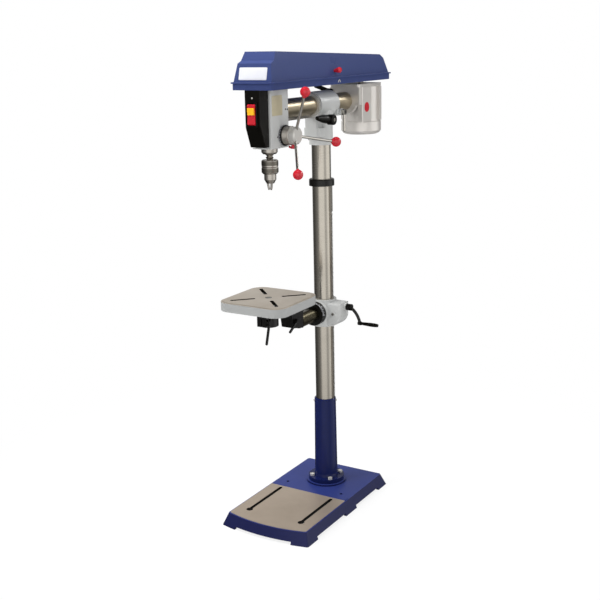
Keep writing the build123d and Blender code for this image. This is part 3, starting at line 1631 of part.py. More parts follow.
with BuildPart() as terminal_cover:
    rounded_slab(
        (terminal_inner_x, motor_web_rear_y, terminal_low_z),
        (terminal_outer_x, motor_y, motor_plate_low_z),
        3.0,
    )
    bar((0, motor_y, terminal_low_z - 1), (0, motor_y, motor_plate_low_z + 1), motor_radius, Mode.SUBTRACT)
    bar((0, motor_web_rear_y - 1, ram_z), (0, ram_rear_y + 5, ram_z), motor_hub_dia / 2, Mode.SUBTRACT)
    block(
        (terminal_inner_x - 1, terminal_rear_y, terminal_low_z - 1),
        (terminal_outer_x + 1, motor_y + 1, motor_plate_low_z + 1),
        Mode.SUBTRACT,
    )
pieces["terminal_cover"] = terminal_cover

with BuildPart() as spindle_pulley:
    step_pulley(spindle_pulley_radii, spindle_y, spline_dia / 2 + clear_gap)
    bar(
        (0, spindle_y, pulley_bearing_low_z),
        (0, spindle_y, pulley_low_z + 1),
        pulley_sleeve_dia / 2,
    )
    with BuildSketch(Plane.XY.offset(pulley_bearing_low_z - 1)) as spline_bore:
        with Locations((0, spindle_y)):
            Circle(spline_dia / 2 + clear_gap)
            Rectangle(2 * spline_dia, spline_flat + 2 * clear_gap, mode=Mode.INTERSECT)
    extrude(amount=pulley_low_z - pulley_bearing_low_z + 3, mode=Mode.SUBTRACT)
pieces["spindle_pulley"] = spindle_pulley

belt_step = len(spindle_pulley_radii) // 2
belt_z = pulley_low_z + (belt_step + 0.5) * pulley_step
belt_spindle_radius = spindle_pulley_radii[belt_step] - groove_depth + clear_gap
belt_motor_radius = motor_pulley_radii[belt_step] - groove_depth + clear_gap


def belt_loop(thickness):
    """Outline of the belt laid round both pulleys, this far outside the groove bottoms."""
    near = belt_spindle_radius + thickness
    far = belt_motor_radius + thickness
    reach = motor_y - spindle_y
    lean = math.asin((near - far) / reach)
    across, along = math.cos(lean), math.sin(lean)
    with BuildSketch(Plane.XY.offset(belt_z - belt_height / 2)) as loop:
        with BuildLine():
            Line((near * across, spindle_y + near * along), (far * across, motor_y + far * along))
            ThreePointArc(
                (far * across, motor_y + far * along),
                (0, motor_y + far),
                (-far * across, motor_y + far * along),
            )
            Line((-far * across, motor_y + far * along), (-near * across, spindle_y + near * along))
            ThreePointArc(
                (-near * across, spindle_y + near * along),
                (0, spindle_y - near),
                (near * across, spindle_y + near * along),
            )
        make_face()
    return loop.sketch


with BuildPart() as v_belt:
    extrude(belt_loop(belt_thickness), amount=belt_height)
    extrude(belt_loop(0), amount=belt_height, mode=Mode.SUBTRACT)
pieces["v_belt"] = v_belt

# Belt cover: pan below, hinged lid above
cover_middle_y = (pan_front_y + pan_rear_y) / 2
hinge_places = (cover_middle_y - hinge_span / 2, cover_middle_y + hinge_span / 2)
strap_z = pan_rim_z - hinge_strap_drop

with BuildPart() as belt_pan:
    rounded_slab(
        (-pan_half_width, pan_front_y, pan_low_z),
        (pan_half_width, pan_rear_y, pan_rim_z),
        pan_corner,
    )
    rounded_slab(
        (-pan_half_width + sheet, pan_front_y + sheet, pan_low_z + sheet),
        (pan_half_width - sheet, pan_rear_y - sheet, pan_rim_z + 1),
        pan_corner - sheet,
        Mode.SUBTRACT,
    )
    bar(
        (0, spindle_y, pan_low_z - 1),
        (0, spindle_y, pan_low_z + sheet + 1),
        pulley_bearing_dia / 2 - 2,
        Mode.SUBTRACT,
    )
    bar((0, motor_y, pan_low_z - 1), (0, motor_y, pan_low_z + sheet + 1), 24.0, Mode.SUBTRACT)
    for middle in hinge_places:
        front = middle - hinge_knuckle
        outer_x = hinge_x - hinge_dia / 2
        block((outer_x, front, strap_z - sheet), (-pan_half_width + 1, middle, strap_z))
        block((outer_x, front, strap_z - sheet), (outer_x + sheet, middle, hinge_z))
        bar((hinge_x, front, hinge_z), (hinge_x, middle, hinge_z), hinge_dia / 2)
        bar(
            (hinge_x, front - 1, hinge_z),
            (hinge_x, middle + 1, hinge_z),
            hinge_pin_dia / 2 + fit_gap,
            Mode.SUBTRACT,
        )
pieces["belt_pan"] = belt_pan


def lid_shell(inset, drop):
    """The lid's outside, or its inside moved in by a sheet, with its foot lowered by drop."""
    foot_z = lip_top_z - drop
    crown_half = lid_body_half - lid_lean * (lid_front_z - lip_top_z)
    foot_half = lid_body_half + lid_lean * drop
    with BuildSketch(Plane.YZ.offset(-lid_half_width)) as side:
        with BuildLine():
            Polyline(
                (lid_body_front_y, foot_z),
                (lid_brow_y, lid_brow_z),
                (lid_shelf_y, lid_shelf_z),
                (lid_top_front_y, lid_front_z),
                (lid_top_rear_y, lid_rear_z),
                (lid_back_y, lid_back_z),
                (lid_body_rear_y, foot_z),
                close=True,
            )
        make_face()
        if inset:
            offset(amount=-inset, kind=Kind.INTERSECTION)
    extrude(side.sketch, amount=2 * lid_half_width)
    with BuildSketch(Plane.XZ.offset(-pan_rear_y - lid_lip)) as across:
        with BuildLine():
            Polyline(
                (-foot_half + inset, foot_z),
                (foot_half - inset, foot_z),
                (crown_half - inset, lid_front_z),
                (inset - crown_half, lid_front_z),
                close=True,
            )
        make_face()
    extrude(across.sketch, amount=pan_rear_y - pan_front_y + 2 * lid_lip, mode=Mode.INTERSECT)


lip_top_z = lid_low_z + lid_lip_height
lid_body_half = pan_half_width - lid_body_inset
lid_body_front_y = pan_front_y + lid_body_inset
lid_body_rear_y = pan_rear_y - lid_body_inset
lid_lean = (lid_body_half - lid_top_half_width) / (lid_front_z - lip_top_z)

with BuildPart() as lid_room:
    lid_shell(sheet, lid_lip_height + 4 * sheet)

with BuildPart() as belt_lid:
    lid_shell(0, 0)
    rounded_slab(
        (-lid_half_width, pan_front_y - lid_lip, lid_low_z),
        (lid_half_width, pan_rear_y + lid_lip, lip_top_z),
        pan_corner + lid_lip,
    )
    add(lid_room.part, mode=Mode.SUBTRACT)
    for middle in hinge_places:
        near = middle + face_gap
        far = middle + hinge_knuckle
        pin_end = middle - hinge_knuckle - face_gap
        block((hinge_x, near, lip_top_z - sheet), (-lid_half_width + 1, far, lip_top_z))
        bar((hinge_x, near, hinge_z), (hinge_x, far, hinge_z), hinge_dia / 2)
        bar((hinge_x, pin_end, hinge_z), (hinge_x, near + 1, hinge_z), hinge_pin_dia / 2)
        bar((hinge_x, pin_end - sheet, hinge_z), (hinge_x, pin_end, hinge_z), hinge_pin_dia / 2 + 1.2)
pieces["belt_lid"] = belt_lid

# The knob stands square on the lid's leaning side wall
knob_foot = Vector(lid_body_half - (lid_knob_z - lip_top_z) * lid_lean, lid_knob_y, lid_knob_z)
knob_aim = Vector(1, 0, lid_lean).normalized()

with BuildPart() as lid_knob:
    foot = knob_foot + knob_aim * clear_gap
    neck = foot + knob_aim * lid_knob_length * 0.25
    crown = foot + knob_aim * lid_knob_length * 0.8
    bar(foot, neck, lid_knob_dia * 0.28)
    taper(neck, crown, lid_knob_dia * 0.34, lid_knob_dia / 2)
    taper(crown, (foot + knob_aim * lid_knob_length), lid_knob_dia / 2, lid_knob_dia * 0.3)
pieces["lid_knob"] = lid_knob

# Cable, straight runs joined by arcs as large as the runs allow
cable_radii = []
for before, corner, after in zip(cable_points, cable_points[1:], cable_points[2:]):
    run_in = Vector(*corner) - Vector(*before)
    run_out = Vector(*after) - Vector(*corner)
    half_turn = math.radians(run_in.get_angle(run_out) / 2)
    cable_radii.append(cable_arc_share * min(run_in.length, run_out.length) / math.tan(half_turn))
print("cable radii", [round(radius) for radius in cable_radii])

with BuildPart() as motor_cable:
    with BuildLine() as cable_path:
        FilletPolyline(*cable_points, radius=cable_radii)
    with BuildSketch(Plane(origin=cable_path.line @ 0, z_dir=cable_path.line % 0)) as cable_section:
        Circle(cable_dia / 2)
    sweep(cable_section.sketch, path=cable_path.line)
pieces["motor_cable"] = motor_cable

os.makedirs("parts", exist_ok=True)
for label, piece in pieces.items():
    piece.part.label = label
    export_step(piece.part, "parts/" + label + ".step")
    print(label, len(piece.part.solids()), round(piece.part.volume))
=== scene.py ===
import bmesh
import bpy
import numpy as np
from mathutils import Matrix


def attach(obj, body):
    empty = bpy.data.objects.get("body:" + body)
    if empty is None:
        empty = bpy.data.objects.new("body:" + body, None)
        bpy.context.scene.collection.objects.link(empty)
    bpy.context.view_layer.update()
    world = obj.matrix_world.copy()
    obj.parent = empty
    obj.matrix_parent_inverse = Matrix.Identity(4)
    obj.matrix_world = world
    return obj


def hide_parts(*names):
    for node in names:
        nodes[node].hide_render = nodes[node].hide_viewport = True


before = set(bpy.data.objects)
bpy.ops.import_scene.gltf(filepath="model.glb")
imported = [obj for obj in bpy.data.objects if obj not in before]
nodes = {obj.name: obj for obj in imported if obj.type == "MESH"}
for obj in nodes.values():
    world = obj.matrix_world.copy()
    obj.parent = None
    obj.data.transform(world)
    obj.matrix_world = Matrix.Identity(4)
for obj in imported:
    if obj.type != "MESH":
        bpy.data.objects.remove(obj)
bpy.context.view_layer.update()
scene = bpy.context.scene


# sRGB hex to linear light: the straight foot below 0.04045, the 2.4 power curve above it
def linearColour(hexText):
    level = np.array([int(hexText[i:i + 2], 16) for i in (1, 3, 5)]) / 255
    linear = np.where(level <= 0.04045, level / 12.92, ((level + 0.055) / 1.055) ** 2.4)
    return (*linear.tolist(), 1.0)


# One node: settings go on the node itself, inputs are plain values or the sockets that feed them
def addNode(tree, kind, settings=None, inputs=None):
    node = tree.nodes.new(kind)
    for key, value in (settings or {}).items():
        setattr(node, key, value)
    for key, value in (inputs or {}).items():
        if isinstance(value, bpy.types.NodeSocket):
            tree.links.new(value, node.inputs[key])
        else:
            node.inputs[key].default_value = value
    return node


# A bare material: principled shader to the output, and the Object coordinates in metres
def newFinish(name):
    material = bpy.data.materials.new(name)
    material.use_nodes = True
    tree = material.node_tree
    tree.nodes.clear()
    shader = addNode(tree, "ShaderNodeBsdfPrincipled")
    addNode(tree, "ShaderNodeOutputMaterial", None, {"Surface": shader.outputs[0]})
    place = addNode(tree, "ShaderNodeTexCoord")
    return material, tree, shader, place.outputs["Object"]


finishes = {}

# Stoving enamel over steel sheet or cast iron: an even colour that drifts a little, and a soft
# orange peel. The real peel is about 1 mm, drawn at peelMm so that it shows at all.
enamelSkin = {"driftPerMetre": 9.0, "peelDepth": 0.001, "spread": (-0.04, 0.06)}  # clouds of about 110 mm
enamels = {
    # sprayed on steel sheet: a greyed violet blue with broad, weak highlights
    "coverBlueEnamel": {"colour": "#3A4572", "drift": "#36416D", "peelMm": 7, "peel": 0.03, "rough": 0.28,
                        "gloss": 0.07, "metal": 0.0},
    # brushed thick on cast iron: deep navy, with sharper highlights
    "baseBlueEnamel": {"colour": "#151E52", "drift": "#10183F", "peelMm": 6, "peel": 0.06, "rough": 0.20,
                       "gloss": 0.18, "metal": 0.0},
    # sprayed on castings: pale neutral grey, satin
    "greyEnamel": {"colour": "#BBBCBB", "drift": "#B0B1AF", "peelMm": 5, "peel": 0.12, "rough": 0.38,
                   "gloss": 0.40, "metal": 0.0},
    # dipped levers and rings: near black, bright only along the edges
    "blackEnamel": {"colour": "#0E0C0A", "drift": "#080706", "peelMm": 5, "peel": 0.16, "rough": 0.30,
                    "gloss": 0.30, "metal": 0.0},
    # flake paint on the motor: pale and half metallic
    "silverEnamel": {"colour": "#D2CEC9", "drift": "#C4C0BA", "peelMm": 4, "peel": 0.10, "rough": 0.30,
                     "gloss": 0.45, "metal": 0.40},
}
for name, look in enamels.items():
    material, tree, shader, place = newFinish(name)
    cloud = addNode(tree, "ShaderNodeTexNoise", None, {
        "Vector": place, "Scale": enamelSkin["driftPerMetre"], "Detail": 4.0})
    tone = addNode(tree, "ShaderNodeMix", {"data_type": "RGBA"}, {
        0: cloud.outputs[0], 6: linearColour(look["colour"]), 7: linearColour(look["drift"])})
    peel = addNode(tree, "ShaderNodeTexNoise", None, {
        "Vector": place, "Scale": 1000 / look["peelMm"], "Detail": 2.0, "Roughness": 0.45})
    bump = addNode(tree, "ShaderNodeBump", None, {
        "Height": peel.outputs[0], "Strength": look["peel"], "Distance": enamelSkin["peelDepth"]})
    smooth, dull = look["rough"] + np.array(enamelSkin["spread"])
    gloss = addNode(tree, "ShaderNodeMapRange", None, {"Value": cloud.outputs[0], 3: smooth, 4: dull})
    tree.links.new(tone.outputs[2], shader.inputs["Base Color"])
    tree.links.new(gloss.outputs[0], shader.inputs["Roughness"])
    tree.links.new(bump.outputs[0], shader.inputs["Normal"])
    shader.inputs["Metallic"].default_value = look["metal"]
    shader.inputs["Specular IOR Level"].default_value = look["gloss"]
    finishes[name] = material

# Worked metal: fine scratches lie along the way it was ground or turned. stretch is how often the
# pattern repeats each way, per metre; real grit is finer, drawn coarser so that it shows.
metalSkin = {"stainPerMetre": 14.0, "cutDepth": 0.0005, "spread": (-0.05, 0.08)}  # stains of about 70 mm
metals = {
    # ground round its axis: bright, with long reflections down its length
    "groundColumnSteel": {"colour": "#B7B1A6", "dark": "#948E84", "rough": 0.24, "stretch": (30, 30, 900),
                          "cut": 0.05},
    # turned on a lathe: satin, with fine rings
    "turnedSteel": {"colour": "#B2ADA5", "dark": "#8F8A82", "rough": 0.30, "stretch": (90, 90, 700),
                    "cut": 0.08},
    # ground lengthwise and oiled: warm and a little dull
    "oiledRamSteel": {"colour": "#B7AB93", "dark": "#978A6F", "rough": 0.33, "stretch": (500, 18, 500),
                      "cut": 0.04},
    # like the ram's steel but drawn dark brown, a painted shade for its place under the table, with clear
    # highlights
    "shadedTrunnionSteel": {"colour": "#57513F", "dark": "#3E3A2C", "rough": 0.26, "stretch": (500, 18, 500),
                           "cut": 0.04},
    # rolled ridges that hold dirt: mid grey with bright tips
    "knurledSteel": {"colour": "#6F6B63", "dark": "#4B4842", "rough": 0.34, "stretch": (300, 300, 300),
                     "cut": 0.10},
    # plated and buffed: near a mirror
    "polishedChrome": {"colour": "#C4C0B8", "dark": "#A9A59E", "rough": 0.16, "stretch": (120, 120, 120),
                       "cut": 0.02},
    # die cast, then turned: pale and satin
    "castAluminium": {"colour": "#C9C7C2", "dark": "#ADABA5", "rough": 0.36, "stretch": (700, 60, 60),
                      "cut": 0.10, "metal": 0.45},
    # dull zinc plate: the palest of the metals
    "zincScrew": {"colour": "#E2E0DA", "dark": "#BEBBB4", "rough": 0.25, "stretch": (300, 300, 300),
                  "cut": 0.10, "metal": 0.50},
    # blacked in hot oil: dark, with a faint shine
    "blackedSteel": {"colour": "#2A2723", "dark": "#171513", "rough": 0.36, "stretch": (400, 400, 400),
                     "cut": 0.06},
    # tempered strip: even mid grey
    "springSteel": {"colour": "#5D5A55", "dark": "#45423E", "rough": 0.30, "stretch": (500, 500, 500),
                    "cut": 0.05},
}
for name, look in metals.items():
    material, tree, shader, place = newFinish(name)
    laid = addNode(tree, "ShaderNodeMapping", None, {"Vector": place, "Scale": look["stretch"]})
    grit = addNode(tree, "ShaderNodeTexNoise", None, {"Vector": laid.outputs[0], "Scale": 1.0, "Detail": 5.0})
    stain = addNode(tree, "ShaderNodeTexNoise", None, {
        "Vector": place, "Scale": metalSkin["stainPerMetre"], "Detail": 3.0})
    blend = addNode(tree, "ShaderNodeMath", {"operation": "MULTIPLY"}, {
        0: grit.outputs[0], 1: stain.outputs[0]})
    tone = addNode(tree, "ShaderNodeMix", {"data_type": "RGBA"}, {
        0: blend.outputs[0], 6: linearColour(look["colour"]), 7: linearColour(look["dark"])})
    smooth, dull = look["rough"] + np.array(metalSkin["spread"])
    gloss = addNode(tree, "ShaderNodeMapRange", None, {"Value": grit.outputs[0], 3: smooth, 4: dull})
    bump = addNode(tree, "ShaderNodeBump", None, {
        "Height": grit.outputs[0], "Strength": look["cut"], "Distance": metalSkin["cutDepth"]})
    tree.links.new(tone.outputs[2], shader.inputs["Base Color"])
    tree.links.new(gloss.outputs[0], shader.inputs["Roughness"])
    tree.links.new(bump.outputs[0], shader.inputs["Normal"])
    shader.inputs["Metallic"].default_value = look.get("metal", 1.0)  # less for a cast or plated skin
    finishes[name] = material

# Moulded plastic: one body colour, a faint flow mottle, and a fine spark-eroded grain. The real grain
# is well under 1 mm, drawn at grainMm so that it shows.
plasticSkin = {"flowPerMetre": 45.0, "grainDepth": 0.0008, "spread": (-0.03, 0.05)}  # mottle of about 22 mm
plastics = {
    # filled nylon: black and satin
    "blackMouldedPlastic": {"colour": "#0C0A06", "drift": "#060503", "grainMm": 3, "grain": 0.10,
                            "rough": 0.36, "gloss": 0.14},
    # pressed in polished moulds: deep red with a small clear highlight
    "redPhenolic": {"colour": "#C41F2D", "drift": "#AD1826", "grainMm": 8, "grain": 0.03,
                    "rough": 0.16, "gloss": 0.5},
    # bright and waxy
    "yellowNylon": {"colour": "#F8B71C", "drift": "#EFA912", "grainMm": 5, "grain": 0.05,
                    "rough": 0.30, "gloss": 0.4},
    # extruded: dull black
    "blackRubber": {"colour": "#161616", "drift": "#0C0C0C", "grainMm": 3, "grain": 0.15,
                    "rough": 0.60, "gloss": 0.3},
    # lacquered sheet: smooth, a cool white
    "whitePlate": {"colour": "#D6D7DD", "drift": "#CCCDD4", "grainMm": 9, "grain": 0.02,
                   "rough": 0.28, "gloss": 0.4},
    # lacquered sheet: smooth, a warm beige
    "beigePlate": {"colour": "#B7AD90", "drift": "#A79E84", "grainMm": 6, "grain": 0.04,
                   "rough": 0.35, "gloss": 0.4},
}
for name, look in plastics.items():
    material, tree, shader, place = newFinish(name)
    flow = addNode(tree, "ShaderNodeTexNoise", None, {
        "Vector": place, "Scale": plasticSkin["flowPerMetre"], "Detail": 3.0})
    tone = addNode(tree, "ShaderNodeMix", {"data_type": "RGBA"}, {
        0: flow.outputs[0], 6: linearColour(look["colour"]), 7: linearColour(look["drift"])})
    grain = addNode(tree, "ShaderNodeTexNoise", None, {
        "Vector": place, "Scale": 1000 / look["grainMm"], "Detail": 2.0})
    bump = addNode(tree, "ShaderNodeBump", None, {
        "Height": grain.outputs[0], "Strength": look["grain"], "Distance": plasticSkin["grainDepth"]})
    smooth, dull = look["rough"] + np.array(plasticSkin["spread"])
    gloss = addNode(tree, "ShaderNodeMapRange", None, {"Value": flow.outputs[0], 3: smooth, 4: dull})
    tree.links.new(tone.outputs[2], shader.inputs["Base Color"])
    tree.links.new(gloss.outputs[0], shader.inputs["Roughness"])
    tree.links.new(bump.outputs[0], shader.inputs["Normal"])
    shader.inputs["Specular IOR Level"].default_value = look["gloss"]
    finishes[name] = material

# Castings with one machined face: milled iron above topZ (and in front of rearY), paint elsewhere.
# Milling leaves bands of tool marks about 3 mm apart, drawn at markMm, and oil leaves warm stains.
# A slot's walls are drawn near black, a painted shade for the dark inside the slot. They stand upright, less
# than depth below the face, near the line |x| = offset + slope * |y - middle|, for |y - middle| between inner
# and outer.
# Paint that faces up is drawn lighter as a painted top light, and paint that faces the side stays deep.
castings = {
    "milledTable": {"iron": "#B9B1A6", "warm": "#A79C8D", "paint": "#9FA09F", "litPaint": "#9FA09F",
                    "topZ": 0.8402, "rearY": 1.0, "markMm": 5, "rough": 0.38, "metal": 0.55,
                    "slot": {"offset": 0.0, "slope": 1.0, "middle": -0.365, "inner": 0.025, "outer": 0.10}},
    "milledBase": {"iron": "#C2B3A2", "warm": "#AC9D8C", "paint": "#131844", "litPaint": "#2A3674",
                   "topZ": 0.0442, "rearY": -0.14, "markMm": 6, "rough": 0.36, "metal": 0.55,
                   "slot": {"offset": 0.108, "slope": 0.0, "middle": -0.26, "inner": -1.0, "outer": 0.125}},
}
# Painted shade inside the slots: this near-black colour goes on the slots' walls
slotShade = {"colour": "#100D0A", "halfWidth": 0.0135, "depth": 0.018, "upright": 0.3}
# Painted top light: the share of the lighter paint grows as the face points up
paintedTopLight = {"from": 0.90, "to": 0.98}  # by how far the face's direction points up
castSkin = {"warmPerMetre": 11.0, "peelPerMetre": 180.0, "relief": 0.08, "reliefDepth": 0.0006, "gloss": 0.25,
            "spread": (-0.06, 0.08)}  # stains of about 90 mm, peel of 5.5 mm
waveBands = 3.14  # bands to the metre, about, at a wave scale of 1
for name, look in castings.items():
    material, tree, shader, place = newFinish(name)
    axes = addNode(tree, "ShaderNodeSeparateXYZ", None, {"Vector": place})
    high = addNode(tree, "ShaderNodeMath", {"operation": "GREATER_THAN"}, {
        0: axes.outputs["Z"], 1: look["topZ"]})
    fore = addNode(tree, "ShaderNodeMath", {"operation": "LESS_THAN"}, {
        0: axes.outputs["Y"], 1: look["rearY"]})
    bare = addNode(tree, "ShaderNodeMath", {"operation": "MULTIPLY"}, {
        0: high.outputs[0], 1: fore.outputs[0]})
    slot = look["slot"]
    facing = addNode(tree, "ShaderNodeTexCoord").outputs["Normal"]
    tips = addNode(tree, "ShaderNodeSeparateXYZ", None, {"Vector": facing})
    across = addNode(tree, "ShaderNodeMath", {"operation": "ABSOLUTE"}, {0: axes.outputs["X"]})
    down = addNode(tree, "ShaderNodeMath", {"operation": "SUBTRACT"}, {
        0: axes.outputs["Y"], 1: slot["middle"]})
    along = addNode(tree, "ShaderNodeMath", {"operation": "ABSOLUTE"}, {0: down.outputs[0]})
    line = addNode(tree, "ShaderNodeMath", {"operation": "MULTIPLY_ADD"}, {
        0: along.outputs[0], 1: slot["slope"], 2: slot["offset"]})
    tests = [
        addNode(tree, "ShaderNodeMath", {"operation": "COMPARE"}, {
            0: across.outputs[0], 1: line.outputs[0], 2: slotShade["halfWidth"]}),
        addNode(tree, "ShaderNodeMath", {"operation": "GREATER_THAN"}, {
            0: along.outputs[0], 1: slot["inner"]}),
        addNode(tree, "ShaderNodeMath", {"operation": "LESS_THAN"}, {
            0: along.outputs[0], 1: slot["outer"]}),
        addNode(tree, "ShaderNodeMath", {"operation": "GREATER_THAN"}, {
            0: axes.outputs["Z"], 1: look["topZ"] - slotShade["depth"]}),
        addNode(tree, "ShaderNodeMath", {"operation": "COMPARE"}, {
            0: tips.outputs["Z"], 1: 0.0, 2: slotShade["upright"]}),
    ]
    inSlot = tests[0].outputs[0]
    for test in tests[1:]:
        both = addNode(tree, "ShaderNodeMath", {"operation": "MULTIPLY"}, {0: inSlot, 1: test.outputs[0]})
        inSlot = both.outputs[0]
    marks = addNode(tree, "ShaderNodeTexWave", {"wave_type": "BANDS", "bands_direction": "Y"}, {
        "Vector": place, "Scale": 1000 / look["markMm"] / waveBands, "Distortion": 2.0, "Detail": 2.0,
        "Detail Scale": 0.4})
    stain = addNode(tree, "ShaderNodeTexNoise", None, {
        "Vector": place, "Scale": castSkin["warmPerMetre"], "Detail": 5.0, "Roughness": 0.6})
    iron = addNode(tree, "ShaderNodeMix", {"data_type": "RGBA"}, {
        0: stain.outputs[0], 6: linearColour(look["iron"]), 7: linearColour(look["warm"])})
    # Painted top light: faces that point up take the lighter paint
    flatness = addNode(tree, "ShaderNodeMapRange", None, {
        "Value": tips.outputs["Z"], 1: paintedTopLight["from"], 2: paintedTopLight["to"]})
    paint = addNode(tree, "ShaderNodeMix", {"data_type": "RGBA"}, {
        0: flatness.outputs[0], 6: linearColour(look["paint"]), 7: linearColour(look["litPaint"])})
    tone = addNode(tree, "ShaderNodeMix", {"data_type": "RGBA"}, {
        0: bare.outputs[0], 6: paint.outputs[2], 7: iron.outputs[2]})
    # Painted shade: the slots' walls take the near-black colour
    shadedSlot = addNode(tree, "ShaderNodeMix", {"data_type": "RGBA"}, {
        0: inSlot, 6: tone.outputs[2], 7: linearColour(slotShade["colour"])})
    metal = addNode(tree, "ShaderNodeMath", {"operation": "MULTIPLY"}, {0: bare.outputs[0], 1: look["metal"]})
    peel = addNode(tree, "ShaderNodeTexNoise", None, {
        "Vector": place, "Scale": castSkin["peelPerMetre"], "Detail": 2.0})
    relief = addNode(tree, "ShaderNodeMix", {"data_type": "FLOAT"}, {
        0: bare.outputs[0], 2: peel.outputs[0], 3: marks.outputs[1]})
    bump = addNode(tree, "ShaderNodeBump", None, {
        "Height": relief.outputs[0], "Strength": castSkin["relief"], "Distance": castSkin["reliefDepth"]})
    smooth, dull = look["rough"] + np.array(castSkin["spread"])
    gloss = addNode(tree, "ShaderNodeMapRange", None, {"Value": stain.outputs[0], 3: smooth, 4: dull})
    shader.inputs["Specular IOR Level"].default_value = castSkin["gloss"]
    tree.links.new(shadedSlot.outputs[2], shader.inputs["Base Color"])
    tree.links.new(metal.outputs[0], shader.inputs["Metallic"])
    tree.links.new(gloss.outputs[0], shader.inputs["Roughness"])
    tree.links.new(bump.outputs[0], shader.inputs["Normal"])
    finishes[name] = material
print("finishes:", len(finishes))

# Which finish each solid of the machine wears
nodeFinish = {
    "coverBlueEnamel": ["belt_pan", "belt_lid"],
    "baseBlueEnamel": ["column_sleeve"],
    "milledBase": ["base_casting"],
    "milledTable": ["table"],
    "greyEnamel": ["table_bracket", "head_bracket", "head_casting"],
    "blackEnamel": ["rack_collar", "tilt_scale_ring", "crank_arm", "carriage_lock", "arm_lock", "table_lock",
                    "table_arm", "depth_ring", "spring_case"],
    "silverEnamel": ["motor_bracket", "motor_can", "motor_end_bell", "terminal_cover"],
    "groundColumnSteel": ["column_tube"],
    "turnedSteel": ["column_rack", "gear_pin", "lift_gear", "worm_shaft", "ram_pinion", "ram_rack",
                    "swing_lock", "quill", "quill_bearings", "spindle", "chuck_body", "chuck_sleeve",
                    "chuck_jaw_1", "chuck_jaw_2", "chuck_jaw_3", "feed_shaft", "pulley_bearings",
                    "motor_rotor"],
    "oiledRamSteel": ["ram_tube"],
    "shadedTrunnionSteel": ["trunnion_tube"],
    "polishedChrome": ["ram_lock", "feed_rods"],
    "castAluminium": ["ram_scale_ring", "spindle_pulley", "motor_pulley", "feed_hub"],
    "zincScrew": ["stand_screws"],
    "springSteel": ["return_spring"],
    "blackMouldedPlastic": ["crank_grip", "ram_handle", "switch_box"],
    "redPhenolic": ["feed_knobs", "depth_lock", "lid_knob", "switch_paddle"],
    "yellowNylon": ["switch_key"],
    "blackRubber": ["v_belt", "motor_cable"],
}
for finish, names in nodeFinish.items():
    for nodeName in names:
        mesh = nodes[nodeName].data
        mesh.materials.clear()
        mesh.materials.append(finishes[finish])
print("dressed:", sum(len(names) for names in nodeFinish.values()), "solids")


# Grids of points (rows, columns, 3) become one mesh of quads, each grid's last column joined to its first
def gridMesh(name, grids):
    corners = []
    quads = []
    start = 0
    for points in grids:
        rows, columns = points.shape[:2]
        number = start + np.arange(rows * columns).reshape(rows, columns)
        number = np.hstack([number, number[:, :1]])
        faces = np.stack([number[:-1, :-1], number[:-1, 1:], number[1:, 1:], number[1:, :-1]], -1)
        corners.append(points.reshape(-1, 3))
        quads.append(faces.reshape(-1, 4))
        start += rows * columns
    mesh = bpy.data.meshes.new(name)
    mesh.from_pydata(np.concatenate(corners).tolist(), [], np.concatenate(quads).tolist())
    work = bmesh.new()
    work.from_mesh(mesh)
    bmesh.ops.remove_doubles(work, verts=work.verts, dist=1e-6)
    bmesh.ops.recalc_face_normals(work, faces=work.faces)
    work.to_mesh(mesh)
    work.free()
    return mesh


# A finished piece: linked at the origin, smooth up to 35 degrees, dressed, and riding on its body
def addPiece(name, mesh, finish, body, smoothTo=35):
    mesh.materials.append(finishes[finish])
    mesh.shade_smooth()
    mesh.set_sharp_from_angle(angle=np.radians(smoothTo))
    piece = bpy.data.objects.new(name, mesh)
    scene.collection.objects.link(piece)
    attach(piece, body)
    return piece


# Two directions square to an axis and to each other
def crossAxes(axis):
    axis = np.array(axis, float) / np.linalg.norm(axis)
    side = np.cross(axis, (0, 0, 1) if abs(axis[2]) < 0.9 else (0, 1, 0))
    side /= np.linalg.norm(side)
    return axis, side, np.cross(axis, side)


# Turned shape: a profile of (radius, height) in mm carried round an axis:
# point = foot + height * axis + radius * (cos(turn) * side + sin(turn) * other)
def turnedGrid(profile, foot, axis, steps=40):
    radius, height = np.array(profile, float).T / 1000
    axis, side, other = crossAxes(axis)
    turn = np.linspace(0, 2 * np.pi, steps, endpoint=False)
    ring = np.cos(turn)[:, None] * side + np.sin(turn)[:, None] * other
    return np.array(foot) / 1000 + height[:, None, None] * axis + radius[:, None, None] * ring


# Rounded plate: the outline |x/a|^n + |y/b|^n = 1 drawn in by an edge profile of (inset, height):
# both ends of the profile run to the middle, or meet, so the plate is closed all round
def plateGrid(centre, across, upward, width, height, profile, squareness=9, steps=72):
    across, upward = np.array(across, float), np.array(upward, float)
    out = np.cross(across, upward)
    turn = np.linspace(0, 2 * np.pi, steps, endpoint=False)
    bend = 2 / squareness
    flatX = np.sign(np.cos(turn)) * np.abs(np.cos(turn)) ** bend
    flatY = np.sign(np.sin(turn)) * np.abs(np.sin(turn)) ** bend
    inset, lift = np.array(profile, float).T
    halfX = np.maximum(width / 2 - inset, 0)
    halfY = np.maximum(height / 2 - inset, 0)
    points = (np.array(centre, float) + halfX[:, None, None] * flatX[:, None] * across
              + halfY[:, None, None] * flatY[:, None] * upward + lift[:, None, None] * out)
    return points / 1000


# Edge profile of a plate of some thickness with a rounded rim, from the hidden middle to the seen one
def plateEdge(reach, thick, rim):
    arc = np.linspace(0, np.pi / 2, 5)
    rounded = np.stack([rim * (1 - np.cos(arc)), thick - rim + rim * np.sin(arc)], -1)
    return np.vstack([[reach, 0], [0, 0], rounded, [reach, thick]])


